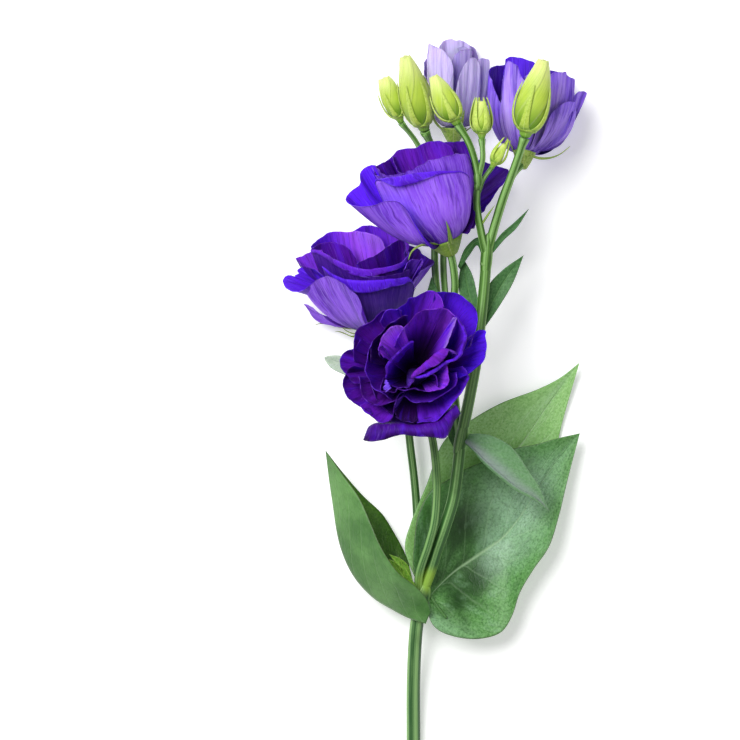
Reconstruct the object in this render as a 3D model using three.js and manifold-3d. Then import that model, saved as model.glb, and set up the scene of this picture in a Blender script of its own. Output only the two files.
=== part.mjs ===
// A cut lisianthus stem with double blooms, buds and leaves, lying on a flat surface.
// Millimetres, +Z up from the surface. +Y runs from the cut end towards the blooms, +X to the right
// as seen from above. The origin is on the surface, under the flat of the stem near its cut end.
import * as THREE from "three";
import { mergeVertices } from "three/addons/utils/BufferGeometryUtils.js";
import Module from "manifold-3d";

const wasm = await Module();
wasm.setup();

// Driving dimensions
const petalThickness = 0.7;
const overlapStep = 1.3; // one margin of a petal lies this far outside its middle, the other inside
const waveDepth = 0.3; // of a petal's margin, against its written value
const leafThickness = 0.8;
const sepalThickness = 0.7;
const clearance = 0.35; // left between two nodes that touch
const stemGap = 0.45; // from the end of a pedicel to the calyx on it
const mainRadius = 2.8; // stem at the cut end
const axisRadius = 2.1; // flowering axis above the large leaves
const branchRadius = 1.7;
const pedicelRadius = 1.5; // just under a bloom or a bud
const calyxRadius = 5.4; // rim of a bloom's calyx cup
const calyxHeight = 6.5;
const corollaFloor = 7; // height above a bloom's base where its petals leave the calyx

const colours = {
  stem: 0x5f8f4a,
  leaf: 0x4f8a4c,
  leafGrey: 0x7d9a86,
  leafDark: 0x2f6a34,
  leafPale: 0xa9bfa2,
  shoot: 0x8fbf3f,
  petal: 0x4a1fb4,
  petalLavender: 0xa08fdc,
  petalMid: 0x6a4bd0,
  calyx: 0x8aa545,
  bud: 0xb9d65a,
};

// Small helpers

const vec = ([x, y, z]) => new THREE.Vector3(x, y, z);
const curveThrough = (points) => new THREE.CatmullRomCurve3(points.map(vec), false, "centripetal");
const smooth = (x) => THREE.MathUtils.smoothstep(x, 0, 1);
const degrees = THREE.MathUtils.degToRad;

// Numbers from 0 to 1 that are the same on every run.
function seeded(seed) {
  let state = seed * 7919 + 17;
  return () => {
    state = (state * 48271) % 2147483647;
    return state / 2147483647;
  };
}

// A closed solid from vertex positions and triangles, turned so that its faces point out.
function solidFrom(positions, triangles) {
  const geometry = new THREE.BufferGeometry();
  geometry.setAttribute("position", new THREE.Float32BufferAttribute(positions, 3));
  geometry.setIndex(triangles);
  const merged = mergeVertices(geometry, 1e-4);
  const p = merged.attributes.position;
  const kept = [];
  let volume = 0;
  const corner = [0, 1, 2].map(() => new THREE.Vector3());
  for (let i = 0; i < merged.index.count; i += 3) {
    const ids = [0, 1, 2].map((k) => merged.index.getX(i + k));
    if (new Set(ids).size < 3) continue;
    kept.push(...ids);
    corner.forEach((c, k) => c.fromBufferAttribute(p, ids[k]));
    volume += corner[0].dot(corner[1].clone().cross(corner[2]));
  }
  if (volume < 0) kept.reverse();
  return new wasm.Manifold(
    new wasm.Mesh({ numProp: 3, vertProperties: new Float32Array(p.array), triVerts: new Uint32Array(kept) }),
  );
}

// Rows of points, all of one length, joined to a closed skin. The first and last row are closed by a fan.
function skin(rows) {
  const sides = rows[0].length;
  const positions = rows.flat().flatMap((q) => [q.x, q.y, q.z]);
  const triangles = [];
  for (let i = 0; i + 1 < rows.length; i++) {
    for (let j = 0; j < sides; j++) {
      const a = i * sides + j;
      const b = i * sides + ((j + 1) % sides);
      triangles.push(a, b, a + sides, b, b + sides, a + sides);
    }
  }
  for (const [row, turn] of [[0, 1], [rows.length - 1, -1]]) {
    const middle = rows[row].reduce((sum, q) => sum.add(q), new THREE.Vector3()).divideScalar(sides);
    const id = positions.length / 3;
    positions.push(middle.x, middle.y, middle.z);
    for (let j = 0; j < sides; j++) {
      const a = row * sides + j;
      const b = row * sides + ((j + 1) % sides);
      triangles.push(...(turn > 0 ? [b, a, id] : [a, b, id]));
    }
  }
  return solidFrom(positions, triangles);
}

// A round tube along a curve, with a flat side down. Its radius goes evenly from the first to the last value.
function taperedTube(points, [startRadius, endRadius], sides, steps) {
  const curve = curveThrough(points);
  let up = new THREE.Vector3(0, 0, 1);
  const rows = [];
  for (let i = 0; i <= steps; i++) {
    const t = i / steps;
    const tangent = curve.getTangentAt(t);
    up = up.clone().addScaledVector(tangent, -up.dot(tangent)).normalize();
    const side = tangent.clone().cross(up);
    const radius = THREE.MathUtils.lerp(startRadius, endRadius, t);
    const centre = curve.getPointAt(t);
    rows.push(
      Array.from({ length: sides }, (_, k) => {
        const angle = ((k + 0.5) / sides) * 2 * Math.PI;
        return centre
          .clone()
          .addScaledVector(up, radius * Math.cos(angle))
          .addScaledVector(side, radius * Math.sin(angle));
      }),
    );
  }
  return skin(rows);
}

// A thin closed blade. sheet(u, v) is its middle surface: u from -1 to 1 across, v from 0 to 1 along.
// The sheet lies no lower than half its thickness, so a blade that meets the surface rests flat on it.
function blade(sheet, across, along, thickness) {
  const rows = Array.from({ length: along + 1 }, (_, i) =>
    Array.from({ length: across + 1 }, (_, j) => {
      const q = sheet((2 * j) / across - 1, i / along);
      q.z = Math.max(q.z, thickness / 2);
      return q;
    }),
  );
  const at = (i, j) => rows[THREE.MathUtils.clamp(i, 0, along)][THREE.MathUtils.clamp(j, 0, across)];
  const normals = rows.map((row, i) =>
    row.map((_, j) => {
      const acrossWay = at(i, j + 1).clone().sub(at(i, j - 1));
      if (acrossWay.length() < 0.02) acrossWay.copy(at(i - 1, j + 1)).sub(at(i - 1, j - 1));
      const alongWay = at(i + 1, j).clone().sub(at(i - 1, j));
      return acrossWay.cross(alongWay).normalize();
    }),
  );
  const positions = [];
  for (const side of [0.5, -0.5]) {
    rows.forEach((row, i) =>
      row.forEach((q, j) => {
        const moved = q.clone().addScaledVector(normals[i][j], side * thickness);
        positions.push(moved.x, moved.y, moved.z);
      }),
    );
  }
  const count = (along + 1) * (across + 1);
  const id = (i, j, back = 0) => back * count + i * (across + 1) + j;
  const triangles = [];
  for (let i = 0; i < along; i++) {
    for (let j = 0; j < across; j++) {
      const [a, b, c, d] = [id(i, j), id(i, j + 1), id(i + 1, j + 1), id(i + 1, j)];
      triangles.push(a, b, c, a, c, d);
      triangles.push(a + count, c + count, b + count, a + count, d + count, c + count);
    }
  }
  const rim = [];
  for (let j = 0; j < across; j++) rim.push([0, j]);
  for (let i = 0; i < along; i++) rim.push([i, across]);
  for (let j = across; j > 0; j--) rim.push([along, j]);
  for (let i = along; i > 0; i--) rim.push([i, 0]);
  rim.forEach(([i, j], k) => {
    const [m, n] = rim[(k + 1) % rim.length];
    const [a, b, c, d] = [id(i, j), id(m, n), id(m, n, 1), id(i, j, 1)];
    triangles.push(b, a, d, b, d, c);
  });
  return solidFrom(positions, triangles);
}

// The solid with every vertex moved out along its normal, used to cut room for a neighbour.
function grown(solid, distance) {
  const mesh = solid.getMesh();
  const count = mesh.numVert;
  const point = (i) => new THREE.Vector3().fromArray(mesh.vertProperties, i * mesh.numProp);
  const normals = Array.from({ length: count }, () => new THREE.Vector3());
  for (let i = 0; i < mesh.triVerts.length; i += 3) {
    const ids = mesh.triVerts.slice(i, i + 3);
    const [a, b, c] = Array.from(ids, point);
    const face = b.clone().sub(a).cross(c.clone().sub(a)).normalize();
    for (const [k, corners] of [[0, [b, a, c]], [1, [c, b, a]], [2, [a, c, b]]]) {
      const angle = corners[0].clone().sub(corners[1]).angleTo(corners[2].clone().sub(corners[1]));
      normals[ids[k]].addScaledVector(face, angle);
    }
  }
  const vertProperties = new Float32Array(count * 3);
  for (let i = 0; i < count; i++) {
    point(i).addScaledVector(normals[i].normalize(), distance).toArray(vertProperties, i * 3);
  }
  return new wasm.Manifold(new wasm.Mesh({ numProp: 3, vertProperties, triVerts: mesh.triVerts }));
}

const fuse = (solids) => wasm.Manifold.union(solids);

// Stem

const axisTop = [29, 233, 40]; // where the axis divides under the topmost buds
const leafNode = [3, 97, 16]; // where the large leaves, the axis and two pedicels leave the stem
const forkPoint = [19, 160, 31]; // where a side branch leaves the axis behind the front bloom
const budFork = [25.5, 264, 50];

const flowers = {
  front: { base: [0.5, 186.5, 43], towards: [0.03, 0.06, 1], top: [0, 1, 0] },
  left: { base: [-14.5, 200, 9], towards: [-8, 31, 16], top: [0, 0, 1] },
  top: { base: [14, 237, 37], towards: [-13.5, 32.5, 10], top: [0, 0, 1] },
  lavender: { base: [16, 279, 13], towards: [0.5, 41.5, 3], top: [0, 0, 1] },
  right: { base: [44, 271.5, 27], towards: [3.5, 33, -6], top: [0, 0, 1] },
};

const buds = {
  far_left: { base: [-5, 287.5, 20], tip: [-12, 305.5, 22], radius: 4.1, spread: 0.6 },
  left: { base: [4.5, 284, 22], tip: [-3.5, 313.5, 32], radius: 6.2, spread: 0.3 },
  middle: { base: [17.5, 285.5, 51], tip: [7, 306, 53], radius: 5, spread: 0.3 },
  small: { base: [27, 280, 50], tip: [26.5, 296.5, 51], radius: 4.3, spread: 0.9 },
  right: { base: [44, 280.5, 48], tip: [51.5, 311.5, 52], radius: 6.5, spread: 0.3 },
  tiny: { base: [31.5, 271, 48], tip: [36.5, 279.5, 49], radius: 2.2, spread: 1 },
};

const stems = [
  { points: [[0, -9, 2.66], [0, 0, 2.66], [0, 9, 2.66], [0, 38, 4], [0, 62.5, 8], [1, 83, 13], leafNode],
    radii: [mainRadius, 2.7], sides: 10, steps: 10 },
  { points: [[2.5, 94, 15], leafNode, [6.5, 106.5, 19], [11, 117.5, 23], [15.5, 136, 27], forkPoint, [22.5, 178, 34],
    [25, 192, 36], [26.5, 206, 37], [28, 220, 38], axisTop],
    radii: [2.5, axisRadius], sides: 7, steps: 9 },
  { points: [[28.6, 230, 39.5], axisTop, [31.5, 243, 41], [35.5, 256, 43], [40.5, 270, 46], buds.right.base],
    radii: [1.9, pedicelRadius], sides: 7, steps: 5 },
  { points: [[28.7, 231, 39.5], axisTop, [27, 242, 43], [25, 254, 47], budFork],
    radii: [branchRadius, 1.3], sides: 7, steps: 3 },
  { points: [[25.2, 260, 49], budFork, [24, 272, 51], [21.5, 279, 52], buds.middle.base],
    radii: [1.3, 1.4], sides: 6, steps: 4 },
  { points: [[25.5, 261, 49], budFork, [27.3, 272, 51], buds.small.base], radii: [1.2, 1], sides: 6, steps: 3 },
  { points: [[25.5, 260, 48.5], [28, 267, 48.5], buds.tiny.base], radii: [1, 0.8], sides: 5, steps: 2 },
  { points: [[28.9, 231, 38.5], [32, 245, 37], [35.5, 257, 35], [39.5, 266, 31], flowers.right.base],
    radii: [1.5, pedicelRadius], sides: 6, steps: 5 },
  { points: [[3, 96, 16], [7.5, 113.5, 23], [11, 130, 28], [11.5, 144, 30], [9, 158, 31], [5.5, 171, 32], [1.5, 180, 35],
    flowers.front.base],
    radii: [branchRadius, pedicelRadius], sides: 6, steps: 7 },
  { points: [[2.5, 96, 14], [2, 111, 9.5], [1, 133.5, 7], [-0.5, 155.5, 7], [-2, 176, 7], [-6.5, 190, 7.5], flowers.left.base],
    radii: [branchRadius, pedicelRadius], sides: 6, steps: 7 },
  { points: [[19, 158, 30.5], [17.5, 168, 27], [16, 184, 25], [15.5, 200, 25], [15.5, 212, 28], [16.5, 222, 33],
    [15.5, 231, 36], flowers.top.base],
    radii: [branchRadius, pedicelRadius], sides: 6, steps: 7 },
  { points: [[15.5, 200, 24.5], [13, 216, 18], [12, 232.5, 12], [13, 248.5, 11], [14.5, 264.5, 11], flowers.lavender.base],
    radii: [1.3, 1.4], sides: 6, steps: 6 },
  { points: [[15.3, 198, 24.5], [10, 216, 20], [8.5, 232.5, 15], [9, 248.5, 14], [9, 264.5, 14.5], [7.5, 277, 17],
    buds.left.base],
    radii: [1.4, 1.5], sides: 6, steps: 7 },
  { points: [[9, 254, 14.2], [6.5, 268, 14], [1, 280, 15], buds.far_left.base], radii: [1.1, 1], sides: 6, steps: 4 },
];

// Swollen joint where leaves and branches leave the stem.
function joint(centre, radius, detail = 0) {
  const ball = new THREE.IcosahedronGeometry(radius, detail);
  ball.scale(1, 1.15, 1).translate(...centre);
  return solidFrom(Array.from(ball.attributes.position.array), [...Array(ball.attributes.position.count).keys()]);
}

function stemSolids() {
  const tubes = stems.map(({ points, radii, sides, steps }) => taperedTube(points, radii, sides, steps));
  return [...tubes, joint(leafNode, 3.5), joint(axisTop, 2.6), joint(forkPoint, 2.7)];
}

// Leaves. Each is given by its midrib and its two margins, and bellies out of their plane.

const leaves = {
  leaf_left_large: {
    colour: colours.leaf, grid: [6, 7], belly: [-5, 4],
    left: [[7, 84.5, 20], [5.5, 94, 26], [-5.5, 103.5, 31], [-12.5, 115, 31], [-21, 134.5, 27], [-29, 145.5, 20], [-35.5, 155.5, 12]],
    midrib: [[-2, 88, 12], [-13.5, 92, 12], [-21.5, 101.5, 13], [-27.5, 114.5, 13], [-31, 129.5, 12], [-33.5, 144.5, 11], [-35.5, 155.5, 12]],
    right: [[0, 95, 8], [-2, 107, 5], [-4.5, 116, 3], [-11.5, 127.5, 3], [-20.5, 135.5, 4], [-29, 146.5, 7], [-35.5, 155.5, 12]],
  },
  leaf_right_large: {
    colour: colours.leaf, grid: [6, 8], belly: [2, 3],
    left: [[3, 99.5, 18], [-0.5, 112, 17], [5, 127.5, 15], [14.5, 141, 14], [29, 151, 12], [47, 157, 10], [67, 161.5, 8]],
    midrib: [[6, 95, 14], [16.5, 106.5, 9], [29.5, 115.5, 6], [40, 124, 5], [47, 135.5, 5], [56, 148.5, 6], [67, 161.5, 8]],
    right: [[8, 83.5, 20], [22.5, 80, 16], [37, 84.5, 13], [44, 96.5, 13], [52, 111.5, 14], [58, 134.5, 13], [67, 161.5, 8]],
  },
  leaf_right_upper: {
    colour: colours.leaf, grid: [4, 7], belly: [1, 0],
    left: [[1, 103, 13], [-3.5, 116, 13], [-1, 126.5, 13], [5, 141, 11], [12.5, 159.5, 8], [25, 168.5, 6], [51, 177.5, 4], [67, 190, 5]],
    midrib: [[3.5, 99, 12], [11, 114, 5], [19, 128, 2], [27, 139.5, 1], [43, 157, 0.5], [54.5, 174, 1.5], [67, 190, 5]],
    right: [[6, 101, 8], [18, 107, 2], [34, 117, 0], [47, 127, 0], [56, 147.5, 0], [60, 165.5, 2], [67, 190, 5]],
  },
  leaf_narrow_grey: {
    colour: colours.leafGrey, grid: [2, 6], belly: [-1, -1],
    left: [[19.5, 161.5, 31], [30.5, 161.5, 32], [39.5, 155, 32], [47.5, 144.5, 28], [54.5, 131, 23]],
    midrib: [[19.5, 160.5, 32], [25.5, 157, 35], [34.5, 150, 35], [44.5, 140, 31], [54.5, 131, 23]],
    right: [[19.5, 159.5, 31], [26.5, 152.5, 34], [34.5, 144.5, 33], [44.5, 137, 28], [54.5, 131, 23]],
  },
  leaf_hanging_small: {
    colour: colours.leafDark, grid: [2, 3], belly: [0, 0],
    left: [[18.2, 170, 27], [16.9, 165, 26.5], [17.1, 160.5, 26], [16, 157, 25]],
    midrib: [[17, 170, 27.2], [15.1, 165, 27], [15.6, 160.5, 26.3], [16, 157, 25]],
    right: [[15.8, 170, 27], [13.3, 165, 26.5], [14.1, 160.5, 26], [16, 157, 25]],
  },
  leaf_lance_left: {
    colour: colours.leafDark, grid: [2, 5], belly: [0, 0],
    left: [[25.5, 205.5, 36], [19.5, 214, 32], [18, 223.5, 31], [19.5, 233.5, 30]],
    midrib: [[26.5, 206, 36], [23, 216, 31.5], [21, 224, 30.5], [19.5, 233.5, 30]],
    right: [[27, 208, 36], [25.5, 217, 33], [23.5, 226, 31], [19.5, 233.5, 30]],
  },
  leaf_lance_right: {
    colour: colours.leafDark, grid: [2, 5], belly: [0, 0],
    left: [[27.5, 209, 37], [29.5, 221, 35], [35.5, 228, 34], [44, 234, 34]],
    midrib: [[27, 206, 36], [31.5, 215, 33], [37, 225, 32.5], [44, 234, 34]],
    right: [[28, 204.5, 37], [34.5, 214, 34], [40, 223.5, 33], [44, 234, 34]],
  },
  leaf_slim_right: {
    colour: colours.leafDark, grid: [2, 4], belly: [0, 0],
    left: [[30, 235.5, 40], [34.5, 242, 42], [39.5, 246.5, 42.5], [46, 252.5, 43]],
    midrib: [[30, 234.5, 39.5], [35.2, 241, 41.5], [40.3, 245.7, 42], [46, 252.5, 43]],
    right: [[30.5, 233.5, 40], [36, 240, 42], [41, 244.8, 42.5], [46, 252.5, 43]],
  },
  leaf_slim_left: {
    colour: colours.leafDark, grid: [2, 4], belly: [0, 0],
    left: [[27.3, 233.6, 38.5], [25.3, 237.9, 35.5], [22.8, 234.8, 34], [18.5, 228.5, 33]],
    midrib: [[28.3, 234.5, 39], [25.5, 239.5, 36], [21.8, 236, 34.5], [18, 229, 33]],
    right: [[29.2, 235.6, 38.5], [25.8, 241.1, 35.5], [20.8, 237.2, 34], [17.6, 229.6, 33]],
  },
  bract_thread: {
    colour: colours.calyx, grid: [2, 3], belly: [0, 0],
    left: [[26, 245, 44], [30, 251.2, 46.5], [34.5, 253.5, 47]],
    midrib: [[26, 244.5, 44.2], [30.5, 250.5, 46.5], [34.5, 253.5, 47]],
    right: [[26.2, 244, 44], [31, 249.8, 46.5], [34.5, 253.5, 47]],
  },
  bract_pale: {
    colour: colours.leafPale, grid: [2, 5], belly: [0, 0],
    left: [[1.5, 178, 34], [-8, 180, 38], [-18, 182.5, 40], [-28, 187.5, 39], [-35.5, 193, 38]],
    midrib: [[1.5, 179.5, 35], [-8, 182.5, 37], [-18, 186, 39], [-28, 190.3, 38.3], [-35.5, 193, 38]],
    right: [[1.5, 181, 35.5], [-8, 185, 38], [-18, 189.5, 40], [-28, 193, 39], [-35.5, 193, 38]],
  },
  leaf_behind_blooms: {
    colour: colours.leafDark, grid: [2, 4], belly: [0, 0],
    left: [[15.5, 196, 25], [9, 203, 24], [4.5, 213, 22.5], [7, 225.5, 22]],
    midrib: [[15.5, 197.5, 25], [11, 205, 23], [8, 215, 21.5], [7, 225.5, 22]],
    right: [[15.5, 199, 25], [13, 207, 24], [11, 217, 22.5], [7, 225.5, 22]],
  },
  shoot_left: {
    colour: colours.shoot, grid: [2, 4], belly: [0, 0],
    left: [[0.6, 95.6, 19.4], [-3.5, 99, 23], [-7.5, 106, 24], [-10, 112, 24]],
    midrib: [[1.5, 97, 18.8], [-2, 101.5, 21.5], [-6, 107.5, 22.5], [-10, 112, 24]],
    right: [[2.4, 98.4, 19.4], [-0.5, 103.5, 23], [-4, 109, 24], [-10, 112, 24]],
  },
};

// The middle surface of a leaf: each half runs from the midrib to its margin on a bowed line.
function leafSheet({ left, midrib, right, belly }) {
  const [leftCurve, ribCurve, rightCurve] = [left, midrib, right].map(curveThrough);
  return (u, v) => {
    const rib = ribCurve.getPoint(v);
    const margin = (u < 0 ? leftCurve : rightCurve).getPoint(v);
    const bow = 4 * Math.abs(u) * (1 - Math.abs(u)) * (u < 0 ? belly[0] : belly[1]) * Math.sin(Math.PI * v);
    return rib.lerp(margin, Math.abs(u)).add(new THREE.Vector3(0, 0, -bow / 4));
  };
}

// Blooms. A petal follows the bloom's profile, given as [distance from the axis, height] points, bends round
// the axis, and has a rounded end and waved margins.

const cupProfile = [[3, 7.3], [11, 9.3], [16, 15], [18, 25], [20, 33], [23, 38]];
const openProfile = [[3, 7.3], [9, 9.5], [14.5, 15], [19, 22], [24, 27], [29, 29]];
const coneProfile = [[3, 7.3], [9.5, 10.5], [15, 17], [19, 25], [22, 31], [25.5, 35]];
const vaseProfile = [[3, 7.3], [7.5, 10.5], [11, 17], [12.5, 25], [12.3, 33], [12, 42]];
const funnelProfile = [[3, 7.3], [8, 10.5], [12, 16], [15, 23.5], [17.2, 31], [18.8, 37]];

// One ring of petals, evenly spaced with a seeded wander. size scales the distance from the axis.
function ring(count, firstAngle, seed, petal, wander = 5) {
  const random = seeded(seed);
  return Array.from({ length: count }, (_, k) => ({
    ...petal,
    angle: firstAngle + (360 / count) * k + (random() - 0.5) * 2 * wander,
    phase: random() * 6,
    flare: (petal.flare ?? 0) + (random() - 0.5) * 2,
    waves: (petal.waves ?? 2.5) + random(),
  }));
}

const blooms = {
  front: {
    profile: openProfile, colour: colours.petal,
    petals: [
      { angle: -28, width: 17, flare: 1, wave: 1.0, phase: 1 },
      { angle: 22, width: 15, size: 0.9, flare: 0, wave: 1.2, phase: 3 },
      { angle: 78, width: 14, size: 0.97, flare: 0, wave: 1.4, phase: 5 },
      { angle: 122, width: 13, size: 1.02, flare: -0.5, wave: 1.2, phase: 2 },
      { angle: 170, width: 18, size: 0.98, flare: 3, wave: 0.8, phase: 0.5 },
      { angle: -128, width: 15, size: 0.9, flare: 0, wave: 1.2, phase: 4 },
      { angle: -82, width: 14, size: 0.93, flare: 0.5, wave: 1.2, phase: 2.5 },
      ...ring(5, 10, 3, { width: 12, size: 0.72, tall: 1.02, flare: -1, wave: 1.5, inner: true }),
      ...ring(4, 40, 5, { width: 10, size: 0.48, tall: 1.03, flare: -1, wave: 1.6, inner: true }),
      ...ring(2, 0, 8, { width: 7.5, size: 0.26, tall: 0.98, flare: 0, wave: 1.2, inner: true }),
    ],
  },
  left: {
    profile: coneProfile, colour: colours.petal,
    petals: [
      { angle: -28, width: 15, flare: 1, wave: 1.0, phase: 1 },
      { angle: 35, width: 17, flare: 1, wave: 0.6, phase: 2 },
      { angle: -64, width: 11, size: 0.9, tall: 0.55, flare: 2, wave: 1.0, phase: 3 },
      { angle: -84, width: 13, flare: 5, tall: 1.06, wave: 2.0, phase: 3, waves: 3 },
      { angle: -135, width: 15, flare: 3, tall: 1.15, wave: 1.2, phase: 4 },
      { angle: 92, width: 14, flare: 3, wave: 1.0, phase: 5 },
      { angle: 165, width: 17, flare: 1, tall: 1.08, wave: 1.0, phase: 0 },
      ...ring(4, 20, 13, { width: 13.5, size: 0.74, tall: 1, flare: -1, wave: 1.0, inner: true }),
      ...ring(2, 70, 15, { width: 9, size: 0.42, tall: 0.9, flare: -1, wave: 1.0, inner: true }),
    ],
  },
  top: {
    profile: cupProfile, colour: colours.petal,
    petals: [
      { angle: 14, width: 18, flare: -1, wave: 0.8, phase: 1 },
      { angle: -46, width: 14, flare: 6, wave: 1.0, phase: 2 },
      { angle: -90, width: 13, flare: 10, wave: 1.2, phase: 4 },
      { angle: 72, width: 13, flare: 0, wave: 0.8, phase: 3 },
      { angle: 118, width: 13, flare: 14, tall: 0.8, wave: 0.8, phase: 5 },
      { angle: 170, width: 17, flare: 0, wave: 0.8, phase: 0 },
      { angle: -138, width: 15, flare: 1, wave: 1.0, phase: 1.7 },
      ...ring(4, 30, 23, { width: 13.5, size: 0.74, tall: 1, flare: -1, wave: 1.0, inner: true }),
      ...ring(2, 70, 25, { width: 9, size: 0.42, tall: 0.95, flare: -1, wave: 1.0, inner: true }),
    ],
  },
  lavender: {
    profile: vaseProfile, colour: colours.petalLavender,
    petals: [
      ...ring(5, -32, 31, { width: 10.5, flare: 0, wave: 0.7 }),
      ...ring(3, 10, 33, { width: 9.5, size: 0.66, tall: 1.02, flare: 0, wave: 0.8, inner: true }),
    ],
  },
  right: {
    profile: funnelProfile, colour: colours.petalMid,
    petals: [
      { angle: -82, width: 10, flare: 1, wave: 0.8, phase: 0 },
      { angle: -30, width: 12, flare: 0, wave: 0.6, phase: 2 },
      { angle: 32, width: 12, flare: 0, wave: 0.8, phase: 4 },
      { angle: 78, width: 11, flare: 5, tall: 0.8, wave: 1.0, phase: 1 },
      { angle: 138, width: 13, flare: 0, wave: 0.8, phase: 3 },
      { angle: -150, width: 13, flare: 0, wave: 0.8, phase: 5 },
      ...ring(3, 20, 43, { width: 11, size: 0.68, tall: 0.95, flare: -1, wave: 0.9, inner: true }),
    ],
  },
};

// Turns a flower's own frame, base at the origin and axis along +Z, into its place on the plant.
function placement({ base, towards, top }) {
  const axis = vec(towards).normalize();
  const front = vec(top).addScaledVector(axis, -vec(top).dot(axis)).normalize();
  return new THREE.Matrix4().makeBasis(front, axis.clone().cross(front), axis).setPosition(...base);
}

function petalSheet(profile, place, petal) {
  const { angle, width, size = 1, tall = 1, flare = 0, wave = 1, waves = 2.5, phase = 0 } = petal;
  const line = new THREE.SplineCurve(profile.map(([r, h]) => new THREE.Vector2(r, h)));
  const baseHeight = profile[0][1];
  const lift = 4.5 * (1 - Math.min(size, 1));
  const alongPetal = (t) => {
    const q = line.getPointAt(THREE.MathUtils.clamp(t, 0, 1));
    const droop = 0.45 * Math.max(flare, 0) * t ** 3;
    const height = baseHeight + (q.y - baseHeight) * tall + lift * (1 - t) - droop;
    return new THREE.Vector2(q.x * size + flare * t ** 3, height);
  };
  return (u, v) => {
    const t = v * (1 - 0.16 * Math.abs(u) ** 3 * v);
    const q = alongPetal(t);
    const rise = alongPetal(Math.min(t + 0.02, 1)).sub(alongPetal(Math.max(t - 0.02, 0))).normalize();
    const outward = new THREE.Vector2(rise.y, -rise.x);
    const half = width * (0.12 + 0.88 * Math.sin((Math.min(1, v / 0.7) * Math.PI) / 2) ** 1.3);
    const bend = Math.max(q.x, 4);
    const turn = THREE.MathUtils.clamp((u * half) / bend, -2.2, 2.2);
    const edge = Math.max(v ** 3, u * u * v * v);
    const ruffle = waveDepth * wave * edge * (Math.sin(waves * Math.PI * u + phase) + 0.4 * Math.sin(2.1 * waves * Math.PI * u + 1.7 * phase));
    const tuck = overlapStep * u * (0.4 + 0.6 * smooth(v / 0.2));
    q.addScaledVector(outward, tuck + ruffle - bend * (1 - Math.cos(turn)));
    const point = new THREE.Vector3(q.x, bend * Math.sin(turn), q.y);
    return point.applyAxisAngle(new THREE.Vector3(0, 0, 1), degrees(angle)).applyMatrix4(place);
  };
}

// Solid turned from a closed outline of [radius, height] points, then placed.
function turned(outline, sides, place) {
  const lathe = new THREE.LatheGeometry(outline.map(([r, h]) => new THREE.Vector2(r, h)), sides);
  lathe.deleteAttribute("normal");
  lathe.deleteAttribute("uv");
  lathe.rotateX(Math.PI / 2).applyMatrix4(place);
  return solidFrom(Array.from(lathe.attributes.position.array), Array.from(lathe.index.array));
}

function bloomSolids(name) {
  const place = placement(flowers[name]);
  const { profile, petals } = blooms[name];
  const receptacle = turned([[0, 2.1], [1.8, 2.6], [3.3, corollaFloor], [3.2, 8.6], [1.4, 11.4], [0, 11.4]], 6, place);
  const blades = petals.map((petal) => {
    const [across, along] = petal.inner ? [2, 3] : [3, 4];
    return blade(petalSheet(profile, place, petal), across, along, petalThickness);
  });
  return [receptacle, ...blades];
}

// Each sepal's length and how far its tip stands off, anticlockwise from the one on the bloom's upper side.
const sepalReach = {
  front: [[12, 0], [12, 0], [12, 0], [12, 0], [12, 0]],
  left: [[11, 0], [10, 0], [11, 0], [12, 2], [14, 2]],
  top: [[11, 0], [9, 0], [10, 0], [11, 0], [16, 1]],
  lavender: [[10, 0], [10, 0], [10, 0], [10, 0], [10, 0]],
  right: [[11, 0], [15, 3], [10, 0], [11, 0], [11, 0]],
};

// The calyx of a bloom: a cup with five narrow sepals.
function bloomCalyxSolids(name) {
  const place = placement(flowers[name]);
  const cup = turned(
    [[0, stemGap], [1.9, stemGap], [4.2, 2.4], [calyxRadius, calyxHeight], [calyxRadius - 1.1, calyxHeight],
      [3.1, 2.6], [0, 1.6]],
    10,
    place,
  );
  const sepals = sepalReach[name].map(([length, away], k) => sepalSheet(name, place, { angle: 72 * k, length, away }));
  return [cup, ...sepals.map((sheet) => sepalBlade(sheet))];
}

const sepalBlade = (sheet, along = 3) => blade(sheet, 1, along, sepalThickness);

// A sepal leaves the cup's wall, passes under the petals and stands away from them at its tip.
function sepalSheet(name, place, { angle, length, away }) {
  const [, near, far, end] = blooms[name].profile;
  const line = new THREE.SplineCurve(
    [[4, 4.2], [near[0] + 1.5, near[1] - 2.5], [far[0] + 2.5, far[1] - 1], [end[0] + 2.5, end[1]]].map(
      ([r, h]) => new THREE.Vector2(r, h),
    ),
  );
  const reach = Math.min(1, length / line.getLength());
  return (u, v) => {
    const q = line.getPointAt(v * reach);
    q.x += away * v * v;
    q.y -= 0.6 * away * v * v;
    const half = 0.95 * (1 - v) + 0.3;
    const point = new THREE.Vector3(q.x, u * half, q.y);
    return point.applyAxisAngle(new THREE.Vector3(0, 0, 1), degrees(angle)).applyMatrix4(place);
  };
}

// Buds: a furled corolla, twisted to a blunt end, in a small calyx with five sepals that hug it.

const budProfile = [[0.28, 0.02], [0.72, 0.1], [0.97, 0.26], [0.98, 0.42], [0.76, 0.65], [0.46, 0.87], [0.26, 1]];

function budFrame({ base, tip }) {
  const towards = vec(tip).sub(vec(base));
  return { place: placement({ base, towards: towards.toArray(), top: [0, 0, 1] }), length: towards.length() };
}

function budSolid(name) {
  const { place, length } = budFrame(buds[name]);
  const { radius } = buds[name];
  const sides = 8;
  const foot = 2.2;
  const rows = budProfile.map(([r, h]) =>
    Array.from({ length: sides }, (_, k) => {
      const angle = (k / sides) * 2 * Math.PI + 1.1 * h;
      const lobed = radius * r * (1 + (k % 2 ? 0.04 : -0.04) * Math.sin(Math.PI * h));
      const height = foot + (length - foot) * h;
      return new THREE.Vector3(lobed * Math.cos(angle), lobed * Math.sin(angle), height).applyMatrix4(place);
    }),
  );
  return skin(rows);
}

const outside = (q, distance) => 1.09 * q.x + distance; // clears the ridges of the furled petals

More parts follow.
